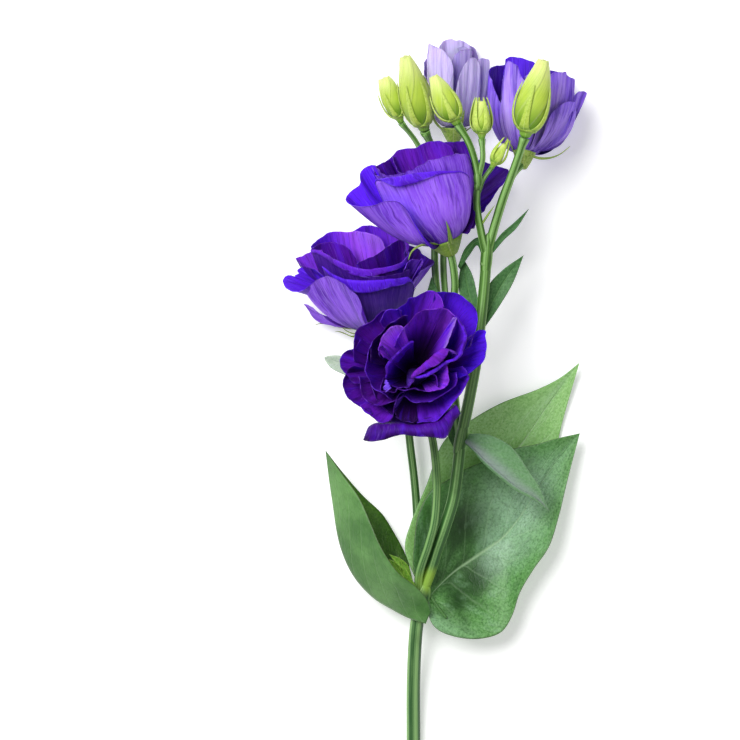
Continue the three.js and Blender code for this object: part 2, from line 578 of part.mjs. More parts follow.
function budCalyxSolids(name) {
  const { place, length } = budFrame(buds[name]);
  const { radius, spread } = buds[name];
  const line = new THREE.SplineCurve(budProfile.map(([r, h]) => new THREE.Vector2(radius * r, 2.2 + (length - 2.2) * h)));
  const [foot, rim] = [line.getPoint(0), line.getPoint(0.16)];
  const cup = turned(
    [[0, stemGap], [1.2, stemGap], [outside(foot, 1.5), foot.y - 0.9], [outside(rim, 1.5), rim.y],
      [outside(rim, 0.55), rim.y], [outside(foot, 0.55), foot.y - 0.4], [0, foot.y - 0.5]],
    10,
    place,
  );
  const sepals = [0, 72, 144, 216, 288].map((angle) =>
    sepalBlade((u, v) => {
      const q = line.getPoint(0.1 + 0.62 * v);
      const away = outside(q, 1.03 + spread * 1.6 * v * v);
      const half = 0.22 * radius * (1 - v) + 0.3;
      const point = new THREE.Vector3(away * Math.cos(Math.PI / 10), u * half, q.y);
      return point.applyAxisAngle(new THREE.Vector3(0, 0, 1), degrees(angle)).applyMatrix4(place);
    }, 2),
  );
  return [cup, ...sepals];
}

// Nodes, in the order in which each keeps clear of those before it.

const made = [];

function add(name, colour, solids, roughness = 0.6) {
  let solid = fuse(solids);
  for (const earlier of made) {
    if (solid.intersect(earlier.cutter()).volume() > 0) solid = solid.subtract(earlier.cutter());
  }
  const largest = solid.decompose().sort((a, b) => b.volume() - a.volume())[0];
  let cutter;
  made.push({
    name,
    colour,
    roughness,
    solid: largest,
    cutter: () => (cutter ??= fuse(solids.map((one) => grown(one, clearance)))),
  });
}

add("stem", colours.stem, stemSolids());
for (const name of Object.keys(buds)) {
  add(`bud_${name}_calyx`, colours.calyx, budCalyxSolids(name));
  add(`bud_${name}_petals`, colours.bud, [budSolid(name)], 0.5);
}
for (const name of Object.keys(flowers)) {
  add(`bloom_${name}_calyx`, colours.calyx, bloomCalyxSolids(name));
  add(`bloom_${name}_petals`, blooms[name].colour, bloomSolids(name), 0.5);
}
for (const [name, leaf] of Object.entries(leaves)) {
  add(name, leaf.colour, [blade(leafSheet(leaf), ...leaf.grid, leafThickness)]);
}

function meshOf({ name, colour, roughness, solid }) {
  const mesh = solid.getMesh();
  const geometry = new THREE.BufferGeometry();
  geometry.setAttribute("position", new THREE.BufferAttribute(mesh.vertProperties, 3));
  geometry.setIndex(new THREE.BufferAttribute(mesh.triVerts, 1));
  geometry.computeVertexNormals();
  const object = new THREE.Mesh(geometry, new THREE.MeshStandardMaterial({ color: colour, roughness, metalness: 0 }));
  object.name = name;
  return object;
}

const lisianthus = new THREE.Group();
made.forEach((node) => lisianthus.add(meshOf(node)));

export default lisianthus;
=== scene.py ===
import math
import bpy
import numpy as np
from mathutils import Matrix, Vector
from mathutils.bvhtree import BVHTree


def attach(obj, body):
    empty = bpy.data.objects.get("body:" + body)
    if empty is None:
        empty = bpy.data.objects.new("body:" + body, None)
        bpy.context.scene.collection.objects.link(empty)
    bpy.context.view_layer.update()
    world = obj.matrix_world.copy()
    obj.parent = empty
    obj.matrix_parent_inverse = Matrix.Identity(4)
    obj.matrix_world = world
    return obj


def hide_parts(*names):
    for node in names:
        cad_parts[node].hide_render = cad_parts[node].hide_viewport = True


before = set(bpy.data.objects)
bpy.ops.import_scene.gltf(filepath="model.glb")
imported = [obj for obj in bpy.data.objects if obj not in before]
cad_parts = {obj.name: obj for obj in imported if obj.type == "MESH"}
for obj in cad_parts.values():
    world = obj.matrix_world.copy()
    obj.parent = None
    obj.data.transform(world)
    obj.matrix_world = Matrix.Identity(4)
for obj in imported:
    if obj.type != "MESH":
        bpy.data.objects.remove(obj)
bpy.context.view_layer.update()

print("loaded the packed spray")

# everything but the studio is written in millimetres and becomes metres when a mesh is made
mm = 0.001
upwards = (0, 0, 1)
fullTurn = 2 * math.pi


# curves

def stepLengths(table):
    return np.linalg.norm(np.diff(table, axis=0), axis=1)


def splineTable(points, count=240, even=True):
    # points on a smooth line through the given ones; even spacing by length, or by control point
    p = np.array(points, float)
    n = len(p) - 1
    p = np.vstack([2 * p[0] - p[1], p, 2 * p[-1] - p[-2]])
    steps = np.linspace(0, n, count * 3 + 1)
    k = np.minimum(steps.astype(int), n - 1)
    w = (steps - k)[:, None]
    a, b, c, d = p[k], p[k + 1], p[k + 2], p[k + 3]
    ab, bc, cd = [np.maximum(np.linalg.norm(two - one, axis=1), 1e-6)[:, None] ** 0.5
                  for one, two in ((a, b), (b, c), (c, d))]
    start = ((b - a) / ab - (c - a) / (ab + bc) + (c - b) / bc) * bc
    end = ((c - b) / bc - (d - b) / (bc + cd) + (d - c) / cd) * bc
    dense = b + start * w + (-3 * b + 3 * c - 2 * start - end) * w ** 2 + (2 * b - 2 * c + start + end) * w ** 3
    if not even:
        return dense[::3]
    run = np.concatenate([[0], np.cumsum(stepLengths(dense))])
    at = np.linspace(0, run[-1], count + 1)
    return np.stack([np.interp(at, run, line) for line in dense.T], axis=1)


def onTable(table, t):
    at = np.clip(t, 0, 1) * (len(table) - 1)
    return np.stack([np.interp(at, np.arange(len(table)), line) for line in table.T], axis=-1)


def easeIn(x):
    return x * x * (3 - 2 * x)


def unit(vectors):
    return vectors / np.maximum(np.linalg.norm(vectors, axis=-1, keepdims=True), 1e-9)


def aside(vectors, axis):
    # what is left of them across the axis
    return vectors - (vectors @ axis)[..., None] * axis


def placement(base, towards, top):
    # a flower's own frame: its base, then the side that faces up on the plant, across, and its axis
    axis = unit(np.array(towards, float))
    front = unit(aside(np.array(top, float), axis))
    return np.array(base, float), np.stack([front, np.cross(axis, front), axis])


def placed(points, place, turn=0.0):
    base, axes = place
    c, s = math.cos(math.radians(turn)), math.sin(math.radians(turn))
    x = points[..., 0] * c - points[..., 1] * s
    y = points[..., 0] * s + points[..., 1] * c
    return base + x[..., None] * axes[0] + y[..., None] * axes[1] + points[..., 2:3] * axes[2]


# meshes

def makeMesh(name, vertices, faces, layers=(), materials=()):
    mesh = bpy.data.meshes.new(name)
    mesh.from_pydata((np.asarray(vertices) * mm).tolist(), [], [list(map(int, f)) for f in faces])
    corner = np.empty(len(mesh.loops), np.int32)
    mesh.loops.foreach_get("vertex_index", corner)
    for layerName, values in zip(("sheet", "tone", "own"), layers):
        mesh.uv_layers.new(name=layerName).data.foreach_set("uv", np.asarray(values, np.float32)[corner].ravel())
    for material in materials:
        mesh.materials.append(material)
    mesh.polygons.foreach_set("use_smooth", np.ones(len(mesh.polygons), bool))
    mesh.update()
    piece = bpy.data.objects.new(name, mesh)
    bpy.context.scene.collection.objects.link(piece)
    return piece


class MeshParts:
    # gathers grids of points into one mesh. Each point has its place on the sheet (across, along), its tone
    # (inside 0 or outside 1, and a number of the sheet's own) and, for petals, its own painted light and shade and its
    # warmth
    def __init__(self):
        self.points, self.faces, self.uv, self.tone, self.own, self.count = [], [], [], [], [], 0

    def add(self, points, faces, uv, tone, own=None):
        self.points.append(points)
        self.faces += [[i + self.count for i in f] for f in faces]
        self.uv.append(uv)
        self.tone.append(tone)
        self.own.append(np.full((len(points), 2), 0.5) if own is None else own)
        self.count += len(points)

    def make(self, name, material):
        points, *layers = [np.vstack(part) for part in (self.points, self.uv, self.tone, self.own)]
        return makeMesh(name, points, self.faces, layers, [material])

    def tree(self):
        # for laying something on this surface
        return BVHTree.FromPolygons(np.vstack(self.points).tolist(), self.faces)


def heightOn(surface, point):
    hit = surface.ray_cast((point[0], point[1], 200), (0, 0, -1))[0]
    return None if hit is None else hit.z


def sheetGrid(across, along):
    v, u = np.meshgrid(np.linspace(0, 1, along + 1), np.linspace(-1, 1, across + 1), indexing="ij")
    return u, v


def gridNormals(grid):
    along = np.gradient(grid, axis=0)
    across = np.gradient(grid, axis=1)
    small = np.linalg.norm(across, axis=2, keepdims=True) < 1e-3
    return unit(np.cross(np.where(small, np.roll(across, 1, axis=0), across), along))


def addSheet(parts, grid, u, v, thickness, random=0.5, outer=False, own=((0.5, 0.5), (0.5, 0.5))):
    # a closed thin sheet: its two faces and the rim between them. It thins out towards the margin.
    rows, columns = grid.shape[:2]
    edge = np.minimum(1, (1 - np.abs(u)) * 6 + 0.45) * np.minimum(1, (1 - v) * 8 + 0.45)
    half = (thickness / 2 * edge)[..., None]
    grid = grid.copy()
    grid[..., 2] = np.maximum(grid[..., 2], thickness / 2)
    normal = gridNormals(grid)
    points = np.vstack([(grid + normal * half).reshape(-1, 3), (grid - normal * half).reshape(-1, 3)])
    n = rows * columns
    i, j = np.meshgrid(np.arange(rows - 1), np.arange(columns - 1), indexing="ij")
    a = (i * columns + j).ravel()
    front = np.stack([a, a + 1, a + columns + 1, a + columns], 1)
    rim = [(0, j) for j in range(columns - 1)] + [(i, columns - 1) for i in range(rows - 1)]
    rim += [(rows - 1, j) for j in range(columns - 1, 0, -1)] + [(i, 0) for i in range(rows - 1, 0, -1)]
    ids = np.array([r * columns + c for r, c in rim])
    after = np.roll(ids, -1)
    sides = np.stack([after, ids, ids + n, after + n], 1)
    uv = np.stack([u.ravel() * 0.5 + 0.5, v.ravel()], 1)
    tone = [np.stack([np.full(n, side), np.full(n, random)], 1) for side in (float(outer), 1.0 - outer)]
    parts.add(points, np.vstack([front, front[:, ::-1] + n, sides]).tolist(), np.vstack([uv, uv]),
              np.vstack(tone), np.vstack([np.broadcast_to(face, (n, 2)) for face in own]))


def ringFaces(rings, sides, closed=False):
    # faces between rings of points, and where it is closed a fan to a middle point at each end
    faces = []
    for k in range(rings - 1):
        for j in range(sides):
            m = (j + 1) % sides
            faces.append([k * sides + j, k * sides + m, (k + 1) * sides + m, (k + 1) * sides + j])
    if closed:
        n, last = rings * sides, (rings - 1) * sides
        for j in range(sides):
            m = (j + 1) % sides
            faces += [[m, j, n], [last + j, last + m, n + 1]]
    return faces


def addRings(parts, grid, angle, random=0.5, ends=()):
    rings, sides = grid.shape[:2]
    uv = np.stack([np.tile(angle / fullTurn, rings), np.repeat(np.linspace(0, 1, rings), sides)], 1)
    if len(ends):
        uv = np.vstack([uv, [0.5, 0], [0.5, 1]])
    tone = np.stack([np.zeros(len(uv)), np.full(len(uv), random)], 1)
    parts.add(np.vstack([grid.reshape(-1, 3), *ends]), ringFaces(rings, sides, len(ends)), uv, tone)


def addTurned(parts, outline, place, sides=32, ribs=0.0, ribCount=5):
    # a cup turned from an outline of (radius, height), with raised ribs
    angle = np.arange(sides) / sides * fullTurn
    swell = 1 + ribs * np.cos(ribCount * angle)
    rings = [np.stack([r * swell * np.cos(angle), r * swell * np.sin(angle), np.full(sides, h)], 1)
             for r, h in outline]
    addRings(parts, placed(np.array(rings), place), angle)


# materials

def colour(text):
    # a written colour, as light intensities
    parts = [int(text[i:i + 2], 16) / 255 for i in (1, 3, 5)]
    return [p / 12.92 if p < 0.04045 else ((p + 0.055) / 1.055) ** 2.4 for p in parts] + [1.0]


class Shade:
    # a short way to write a node material; look holds its colours and strengths
    def __init__(self, name, look, **surface):
        self.look = look
        self.material = bpy.data.materials.new(name)
        self.material.use_nodes = True
        self.nodes = self.material.node_tree.nodes
        self.links = self.material.node_tree.links
        self.surface = self.nodes["Principled BSDF"]
        for key, value in surface.items():
            self.surface.inputs[key.replace("_", " ")].default_value = value

    def glow(self, weight, radii, reach):
        # light that passes through thin tissue
        for key, value in (("Weight", weight), ("Radius", radii), ("Scale", reach * mm)):
            self.surface.inputs["Subsurface " + key].default_value = value

    def node(self, kind, **settings):
        made = self.nodes.new("ShaderNode" + kind)
        for key, value in settings.items():
            setattr(made, key, value)
        return made

    def put(self, value, socket):
        if isinstance(value, bpy.types.NodeSocket):
            self.links.new(value, socket)
        else:
            socket.default_value = value

    def putAll(self, values, sockets):
        for value, socket in zip(values, sockets):
            self.put(value, socket)

    def sum(self, kind, a, b=0.0, c=0.0):
        made = self.node("Math", operation=kind)
        self.putAll((a, b, c), made.inputs)
        return made.outputs[0]

    def times(self, a, b, plus=None):
        return self.sum("MULTIPLY", a, b) if plus is None else self.sum("MULTIPLY_ADD", a, b, plus)

    def fit(self, value, low, high, to=(0.0, 1.0), kind="SMOOTHSTEP"):
        # a soft step from low to high
        made = self.node("MapRange", interpolation_type=kind)
        self.put(value, made.inputs["Value"])
        for key, number in zip(("From Min", "From Max", "To Min", "To Max"), (low, high, *to)):
            made.inputs[key].default_value = number
        return made.outputs[0]

    def ramp(self, value, low, high, to):
        return self.fit(value, low, high, to, "LINEAR")

    def blend(self, amount, a, b):
        # between two colours, each a socket or the name of one in the look
        made = self.node("Mix", data_type="RGBA")
        both = [colour(self.look[tone]) if isinstance(tone, str) else tone for tone in (a, b)]
        self.putAll((amount, *both), (made.inputs[0], made.inputs[6], made.inputs[7]))
        return made.outputs[2]

    def tint(self, base, tone, amount, strength=None):
        return self.blend(amount if strength is None else self.times(amount, strength), base, tone)

    def sheet(self, name="sheet"):
        made = self.node("SeparateXYZ")
        self.put(self.node("UVMap", uv_map=name).outputs[0], made.inputs[0])
        return made.outputs[0], made.outputs[1]

    def at(self, x, y, z=0.0):
        made = self.node("CombineXYZ")
        self.putAll((x, y, z), made.inputs)
        return made.outputs[0]

    def noise(self, where=None, scale=5.0, detail=3.0, roughness=0.5):
        made = self.node("TexNoise")
        for key, value in (("Scale", scale), ("Detail", detail), ("Roughness", roughness)):
            made.inputs[key].default_value = value
        self.put(self.node("TexCoord").outputs["Object"] if where is None else where, made.inputs["Vector"])
        return made.outputs[0]

    def grain(self, x, y, z, scale=1.0, detail=2.0, roughness=0.5):
        # noise over the sheet; x and y each say where, how much it is stretched, and what is added
        return self.noise(self.at(self.times(*x), self.times(*y), z), scale, detail, roughness)

    def bump(self, height, distance, strength):
        made = self.node("Bump")
        made.inputs["Strength"].default_value = strength
        made.inputs["Distance"].default_value = distance * mm
        self.put(height, made.inputs["Height"])
        self.put(made.outputs[0], self.surface.inputs["Normal"])

    def finish(self, base, rough=None):
        self.put(base, self.surface.inputs["Base Color"])
        if rough is not None:
            self.put(rough, self.surface.inputs["Roughness"])
        return self.material


def petalSkin(name, look):
    # inside: a throat darkened with painted shade, warm middle, a bluer margin of painted sheen. Outside: paler, with
    # fine silky strokes along the petal. Both carry each petal's painted light and shade, and painted shade and
    # highlights on folds
    s = Shade(name, look, Roughness=0.5, Specular_IOR_Level=0.06, Sheen_Weight=look["sheen"], Sheen_Roughness=0.35)
    s.surface.inputs["Sheen Tint"].default_value = colour(look["light"])
    s.glow(look["glow"], (0.8, 0.3, 1.0), 1.2)
    u, v = s.sheet()
    side, random = s.sheet("tone")
    lift, warm = s.sheet("own")
    offset = s.times(random, 37.0)
    drift = s.times(s.grain((u, 3.0), (v, 3.0), offset), 0.1, u)
    lines = s.grain((drift, 46.0, offset), (v, 3.0), offset, 1.6, 5.0, 0.62)
    finer = s.grain((drift, 150.0, offset), (v, 7.0), offset, 1.0, 3.0, 0.6)
    folds = s.grain((drift, 9.0, offset), (v, 1.2), offset)
    patchy = s.grain((u, 9.0), (v, 5.0), offset)
    cloud = s.noise(None, 70.0, 3.0)
    sideways = s.sum("ABSOLUTE", s.sum("SUBTRACT", u, 0.5))
    margin = s.sum("MAXIMUM", s.fit(v, 0.965, 1.0), s.times(s.fit(sideways, 0.475, 0.5), s.fit(v, 0.3, 0.7)))
    shown = s.fit(v, 0.3, 0.75)
    # how much painted shade and painted light a petal gets, from its own painted light and shade
    shaded = s.ramp(lift, 0.5, 0.0, (0.0, 0.9))
    paintedLitShare = s.ramp(lift, 0.0, 0.6, (0.12, 1.0))

    # darker towards the throat: painted shade deep in the cup
    inner = s.blend(s.fit(v, 0.12, 0.66), "throat", "inside")
    inner = s.tint(inner, "warm", s.fit(v, 0.3, 0.7), s.times(warm, s.fit(cloud, 0.3, 0.6, (0.5, 1.0))))
    # a bluer margin: painted sheen on the lips
    paintedSheenShare = s.times(s.times(warm, -0.4, 0.6), s.fit(patchy, 0.35, 0.6, (0.3, 1.0)))
    inner = s.tint(inner, "rim", s.fit(v, 0.66, 0.95), paintedSheenShare)
    # painted light on bright petals: vivid violet, and pale on the brightest
    vivid = s.blend(s.fit(warm, 0.3, 0.9), "bright", "vivid")
    inner = s.tint(inner, vivid, s.ramp(lift, 0.5, 1.0, (0.0, 0.9)), shown)
    inner = s.tint(inner, "light", s.ramp(lift, 1.0, 1.5, (0.0, 0.9)), s.fit(v, 0.66, 0.86))
    # painted shade on dark petals, painted shade in the folds' hollows and painted highlights on their crests
    inner = s.tint(inner, "throat", shaded)
    inner = s.tint(inner, "throat", s.fit(folds, 0.5, 0.3), 0.45)
    inner = s.tint(inner, "bright", s.fit(folds, 0.52, 0.7), s.times(shown, 0.35))
    inner = s.tint(inner, "light", s.fit(finer, 0.55, 0.72), s.times(shown, 0.14))
    inner = s.tint(inner, "throat", s.fit(lines, 0.48, 0.36), 0.35)

    outer = s.blend(s.fit(v, 0.24, 0.56), "outsideLow", "outside")
    # painted light on the outsides of bright petals
    outer = s.tint(outer, "line", s.ramp(lift, 0.5, 1.0, (0.0, 0.7)), s.fit(v, 0.2, 0.5))
    outer = s.tint(outer, "outsideTop", s.fit(v, 0.52, 0.82), 0.6)
    # painted shade on dark petals
    outer = s.tint(outer, "shade", shaded)
    outer = s.tint(outer, "warm", warm, s.fit(v, 0.4, 0.9, (0.0, 0.35)))
    # pale clouding as painted light on bright petals; painted shade in the fold grooves and painted highlights on the
    # crests
    outer = s.tint(outer, "line", s.fit(cloud, 0.46, 0.66), s.times(paintedLitShare, 0.4))
    outer = s.tint(outer, "shade", s.fit(folds, 0.52, 0.36), look["paintedFoldShading"])
    outer = s.tint(outer, "line", s.fit(folds, 0.5, 0.66), s.times(paintedLitShare, look["paintedFoldShading"]))
    # silky strokes, stronger where a petal carries more painted light
    strokes = s.times(s.times(lift, 0.85, 0.1), look["lines"])
    outer = s.tint(outer, "light", s.fit(lines, 0.5, 0.64), strokes)
    outer = s.tint(outer, "light", s.fit(finer, 0.5, 0.66), strokes)
    outer = s.tint(outer, "shade", s.fit(lines, 0.47, 0.34), s.fit(v, 0.2, 0.8, (0.2, 0.55)))

    both = s.blend(side, inner, outer)
    # painted shade along stretches of the margin, and painted highlights along others
    both = s.tint(both, "throat", s.fit(v, 0.88, 0.97), s.fit(patchy, 0.6, 0.44, (0.0, look["edge"])))
    both = s.tint(both, "light", s.times(margin, s.fit(patchy, 0.48, 0.62)), look["margin"])
    s.bump(s.sum("ADD", s.times(lines, 0.75), s.times(finer, 0.25)), look["relief"], 0.8)
    return s.finish(both, s.ramp(lines, 0.3, 0.7, (0.4, 0.58)))


def leafSkin(name, look):
    # midrib, arching side veins and a fine net between them, with a paler, bluish back, painted shade patches and
    # painted highlights
    s = Shade(name, look, Roughness=0.45, Specular_IOR_Level=0.35)
    s.glow(0.08, (0.4, 0.8, 0.2), 0.8)
    u, v = s.sheet()
    side, random = s.sheet("tone")
    across = s.sum("ABSOLUTE", s.times(u, 2.0, -1.0))
    midrib = s.fit(across, 0.0, look["midrib"], (1.0, 0.0))
    # side veins leave the midrib and bend towards the tip
    rise = s.sum("SUBTRACT", v, s.times(s.sum("POWER", across, 0.8), look["slant"]))
    rise = s.sum("ADD", rise, s.times(s.grain((u, 5.0), (v, 7.0), random), 0.05))
    wave = s.sum("ABSOLUTE", s.sum("SINE", s.times(rise, look["veins"] * math.pi)))
    veins = s.times(s.fit(wave, 0.0, 0.24, (1.0, 0.0)), s.fit(across, 0.95, 0.5))
    cells = s.node("TexVoronoi", feature="DISTANCE_TO_EDGE")
    cells.inputs["Scale"].default_value = 1.0
    s.put(s.at(s.times(u, look["net"]), s.times(v, look["net"] * 1.6), random), cells.inputs["Vector"])
    net = s.fit(cells.outputs["Distance"], 0.0, 0.12, (1.0, 0.0))
    patch, fine, large = s.noise(None, 45.0, 4.0, 0.6), s.noise(None, 1100.0, 3.0, 0.7), s.noise(None, 16.0, 2.0)
    swell = s.grain((u, look["net"] * 0.7), (rise, look["veins"] * 2.0), random, 1.0, 3.0, 0.6)

    face = s.blend(s.fit(s.times(large, 0.6, s.times(patch, 0.5)), 0.3, 0.6, (0.35, 1.0)), "dark", "mid")
    face = s.tint(face, "pale", s.fit(s.times(fine, 0.5, s.times(large, 0.6)), 0.46, 0.72), 0.5)
    # painted shade in the dark tone and painted highlights in the highlight tone, as soft patches on the blade
    for key, tone in (("hollows", "dark"), ("shine", "shineTone")):
        for acrossAt, alongAt, halfAcross, halfAlong, strength in look.get(key, []):
            away = s.node("VectorMath", operation="LENGTH")
            s.put(s.at(s.times(u, 2.0 / halfAcross, (-1.0 - acrossAt) / halfAcross),
                       s.times(v, 1.0 / halfAlong, -alongAt / halfAlong)), away.inputs[0])
            rough = s.sum("ADD", away.outputs["Value"], s.ramp(patch, 0.3, 0.7, (-0.2, 0.2)))
            rough = s.sum("ADD", rough, s.ramp(swell, 0.3, 0.7, (-0.1, 0.1)))
            face = s.tint(face, tone, s.fit(rough, 1.2, 0.0), strength)
    # painted glints on the bulges between the veins, and painted shade in the dips between them
    if "shineTone" in look:
        face = s.tint(face, "shineTone", s.fit(swell, 0.5, 0.75), 0.22)
        face = s.tint(face, "dark", s.fit(swell, 0.5, 0.3), 0.3)
    face = s.tint(face, "dark", s.fit(fine, 0.52, 0.36), 0.34)

    both = s.blend(side, face, s.blend(s.fit(patch, 0.3, 0.7), "back", "backPale"))
    # darker green towards the foot: partly the calyx's own green, partly painted shade
    if "foot" in look:
        both = s.tint(both, "foot", s.fit(v, 0.42, 0.04, (0.0, 0.9)))
    both = s.tint(both, "dark", net, 0.16)
    both = s.tint(both, "vein", veins, look["veinTone"])
    both = s.tint(both, "vein", midrib, s.fit(v, 0.95, 0.1, (0.45, 0.75)))
    both = s.tint(both, "margin", s.fit(across, 0.975, 1.0), 0.4)
    relief = s.sum("SUBTRACT", s.times(net, -0.2), s.times(veins, 0.6, midrib))
    s.bump(s.times(fine, 0.7, s.times(swell, 1.4, relief)), look["relief"], 0.6)
    return s.finish(both, s.ramp(patch, 0.3, 0.7, (0.38, 0.55)))


def stalkSkin(name, look):
    # bluish low down, fresher green above, painted highlights on ridges and painted shade in furrows, yellowish at the
    # leaf joint
    s = Shade(name, look, Roughness=0.4, Specular_IOR_Level=0.35)
    u, v = s.sheet()
    random = s.sheet("tone")[1]
    where = s.node("TexCoord").outputs["Object"]
    split = s.node("SeparateXYZ")
    s.put(where, split.inputs[0])
    streak = s.grain((u, 22.0), (v, 5.0), random, 1.0, 4.0, 0.6)
    patch = s.noise(None, 60.0, 3.0)
    # painted light and shade round the stalk: pale on the ridges, dark in the furrows
    paintedRidgeShading = s.fit(s.sum("SINE", s.times(u, 8 * math.pi, s.times(random, 5.0))), -1.0, 1.0)
    base = s.blend(s.fit(split.outputs[1], look["from"] * mm, look["to"] * mm), "low", "high")
    base = s.tint(base, "light", s.fit(paintedRidgeShading, 0.4, 1.0), 0.6)
    base = s.tint(base, "dark", s.fit(paintedRidgeShading, 0.5, 0.0), 0.6)
    base = s.tint(base, "light", s.fit(streak, 0.45, 0.7), 0.2)
    base = s.tint(base, "dark", s.fit(patch, 0.5, 0.75), 0.4)
    joint = s.node("VectorMath", operation="DISTANCE")
    s.put(where, joint.inputs[0])
    joint.inputs[1].default_value = [c * mm for c in look["joint"]]
    base = s.tint(base, "jointTone", s.fit(joint.outputs["Value"], 7.5 * mm, 2 * mm), 0.75)
    s.bump(streak, 0.2, 0.6)
    return s.finish(base, s.ramp(patch, 0.3, 0.7, (0.34, 0.48)))


def budSkin(name, look):
    # green at the foot, creamy yellow-green towards the tip, with lines that follow the furl
    s = Shade(name, look, Roughness=0.45, Specular_IOR_Level=0.3)
    s.glow(0.25, (0.8, 1.0, 0.3), 1.0)
    u, v = s.sheet()
    side, random = s.sheet("tone")
    lines = s.grain((u, 46.0), (v, 3.0), random, 1.0, 3.0, 0.6)
    base = s.tint(s.blend(s.fit(v, 0.06, 0.52), "foot", "middle"), "tip", s.fit(v, 0.5, 1.0))
    base = s.tint(base, "line", s.fit(lines, 0.42, 0.62), 0.45)
    base = s.tint(base, "edge", side, 0.16)
    s.bump(lines, 0.12, 0.5)
    return s.finish(base)


# the spray's shape

flowers = {
    "front": {"base": (0.5, 186.5, 43), "towards": (0.03, 0.06, 1), "top": (0, 1, 0)},
    "left": {"base": (-14.5, 200, 9), "towards": (-8, 31, 16), "top": (0, 0, 1)},
    "top": {"base": (14, 237, 37), "towards": (-13.5, 32.5, 10), "top": (0, 0, 1)},
    "lavender": {"base": (16, 279, 13), "towards": (0.5, 41.5, 3), "top": (0, 0, 1)},
    "right": {"base": (44, 271.5, 27), "towards": (3.5, 33, -6), "top": (0, 0, 1)},
}

buds = {
    "far_left": {"base": (-5, 287.5, 20), "tip": (-12, 305.5, 22), "radius": 3.9, "spread": 0.25, "blunt": 2.2,
     "turn": 50},
    "left": {"base": (4.5, 284, 22), "tip": (-3.5, 313.5, 32), "radius": 6.4, "spread": 0.1, "blunt": 1.3,
     "turn": 34},
    "middle": {"base": (17.5, 285.5, 51), "tip": (7.6, 305, 53), "radius": 5.2, "spread": 0.1, "blunt": 1.25,
     "turn": 60},
    "small": {"base": (27, 280, 50), "tip": (26.5, 296.5, 51), "radius": 4.0, "spread": 0.3, "reach": 0.95,
     "blunt": 1.5, "turn": 36, "short": 0.9, "wide": 1.4},
    "right": {"base": (44, 280.5, 48), "tip": (51.5, 311.5, 52), "radius": 6.8, "spread": 0.1, "blunt": 1.2,
     "turn": 55},
    "tiny": {"base": (30.8, 268.5, 48), "tip": (37, 280, 49.5), "radius": 2.6, "spread": 0.25, "reach": 0.97,
     "short": 0.8, "wide": 1.6},
}

leafNode = (3, 97, 16)
axisTop = (29, 233, 40)
forkPoint = (19, 160, 31)
budFork = (25.5, 264, 50)

# one entry for each stalk: its points, its radius at both ends, and how much it widens at both ends
stalks = [
    {"points": [(0, -9, 2.66), (0, 0, 2.66), (0, 9, 2.66), (0, 38, 4), (0, 62.5, 8), (1, 83, 13), leafNode,
     (3.2, 99.5, 17)], "radii": (2.8, 2.6), "flare": (0, 0)},
    {"points": [(2.5, 94, 15), leafNode, (7, 108.5, 19.5), (9.5, 116.4, 22), (12.7, 125.7, 25), (15.9, 136.5, 27),
     (17.6, 148, 29), forkPoint, (22.5, 178, 34), (25, 192, 36), (26.5, 206, 37), (28, 220, 38), axisTop],
     "radii": (2.5, 2.1), "flare": (0.5, 0)},
    {"points": [(28.6, 230, 39.5), axisTop, (31.5, 243, 41), (35.5, 256, 43), (40.5, 270, 46),
     buds["right"]["base"]], "radii": (1.9, 1.5), "flare": (0.4, 0.7)},
    {"points": [(28.7, 231, 39.5), axisTop, (27, 242, 43), (25, 254, 47), budFork], "radii": (1.7, 1.3),
     "flare": (0.4, 0)},
    {"points": [(25.2, 260, 49), budFork, (24, 272, 51), (21.5, 279, 52), buds["middle"]["base"]],
     "radii": (1.3, 1.4), "flare": (0.2, 0.5)},
    {"points": [(25.5, 261, 49), budFork, (27.3, 272, 51), buds["small"]["base"]], "radii": (1.2, 1.0),
     "flare": (0.2, 0.5)},
    {"points": [(25.5, 259, 48.5), (27.6, 264, 48.3), buds["tiny"]["base"]], "radii": (1.0, 0.8),
     "flare": (0.2, 0.2)},
    {"points": [(28.9, 231, 38.5), (32, 245, 37), (35.5, 257, 35), (39.5, 266, 31), flowers["right"]["base"]],
     "radii": (1.5, 1.5), "flare": (0.3, 0.8)},
    {"points": [(2, 96, 16), (2.2, 106, 22), (5.9, 118, 27), (8.2, 127, 29), (9.2, 140, 30), (8.6, 151.8, 31),
     (7.3, 161, 31), (4.6, 172, 32), (1.5, 180, 35), flowers["front"]["base"]], "radii": (1.7, 1.5),
     "flare": (0.5, 0.6)},
    {"points": [(2.5, 96, 14), (2, 111, 9.5), (1.2, 133, 7), (0.3, 144, 7), (-1.7, 161, 7), (-2.8, 176, 7),
     (-6.5, 190, 7.5), flowers["left"]["base"]], "radii": (1.7, 1.5), "flare": (0.5, 0.6)},
    {"points": [(19, 158, 30.5), (17.5, 168, 27), (16, 184, 25), (15.5, 200, 25), (15.5, 212, 28), (16.5, 222, 33),
     (15.5, 231, 36), flowers["top"]["base"]], "radii": (1.7, 1.5), "flare": (0.4, 0.6)},
    {"points": [(15.5, 200, 24.5), (13, 216, 18), (12, 232.5, 12), (13, 248.5, 11), (14.5, 264.5, 11),
     flowers["lavender"]["base"]], "radii": (1.3, 1.4), "flare": (0.3, 0.6)},
    {"points": [(15.3, 198, 24.5), (10, 216, 20), (8.5, 232.5, 15), (9, 248.5, 14), (9, 264.5, 14.5),
     (7.5, 277, 17), buds["left"]["base"]], "radii": (1.4, 1.5), "flare": (0.3, 0.6)},
    {"points": [(9, 254, 14.2), (6.5, 268, 14), (1, 280, 15), buds["far_left"]["base"]], "radii": (1.1, 1.0),
     "flare": (0.3, 0.4)},
]

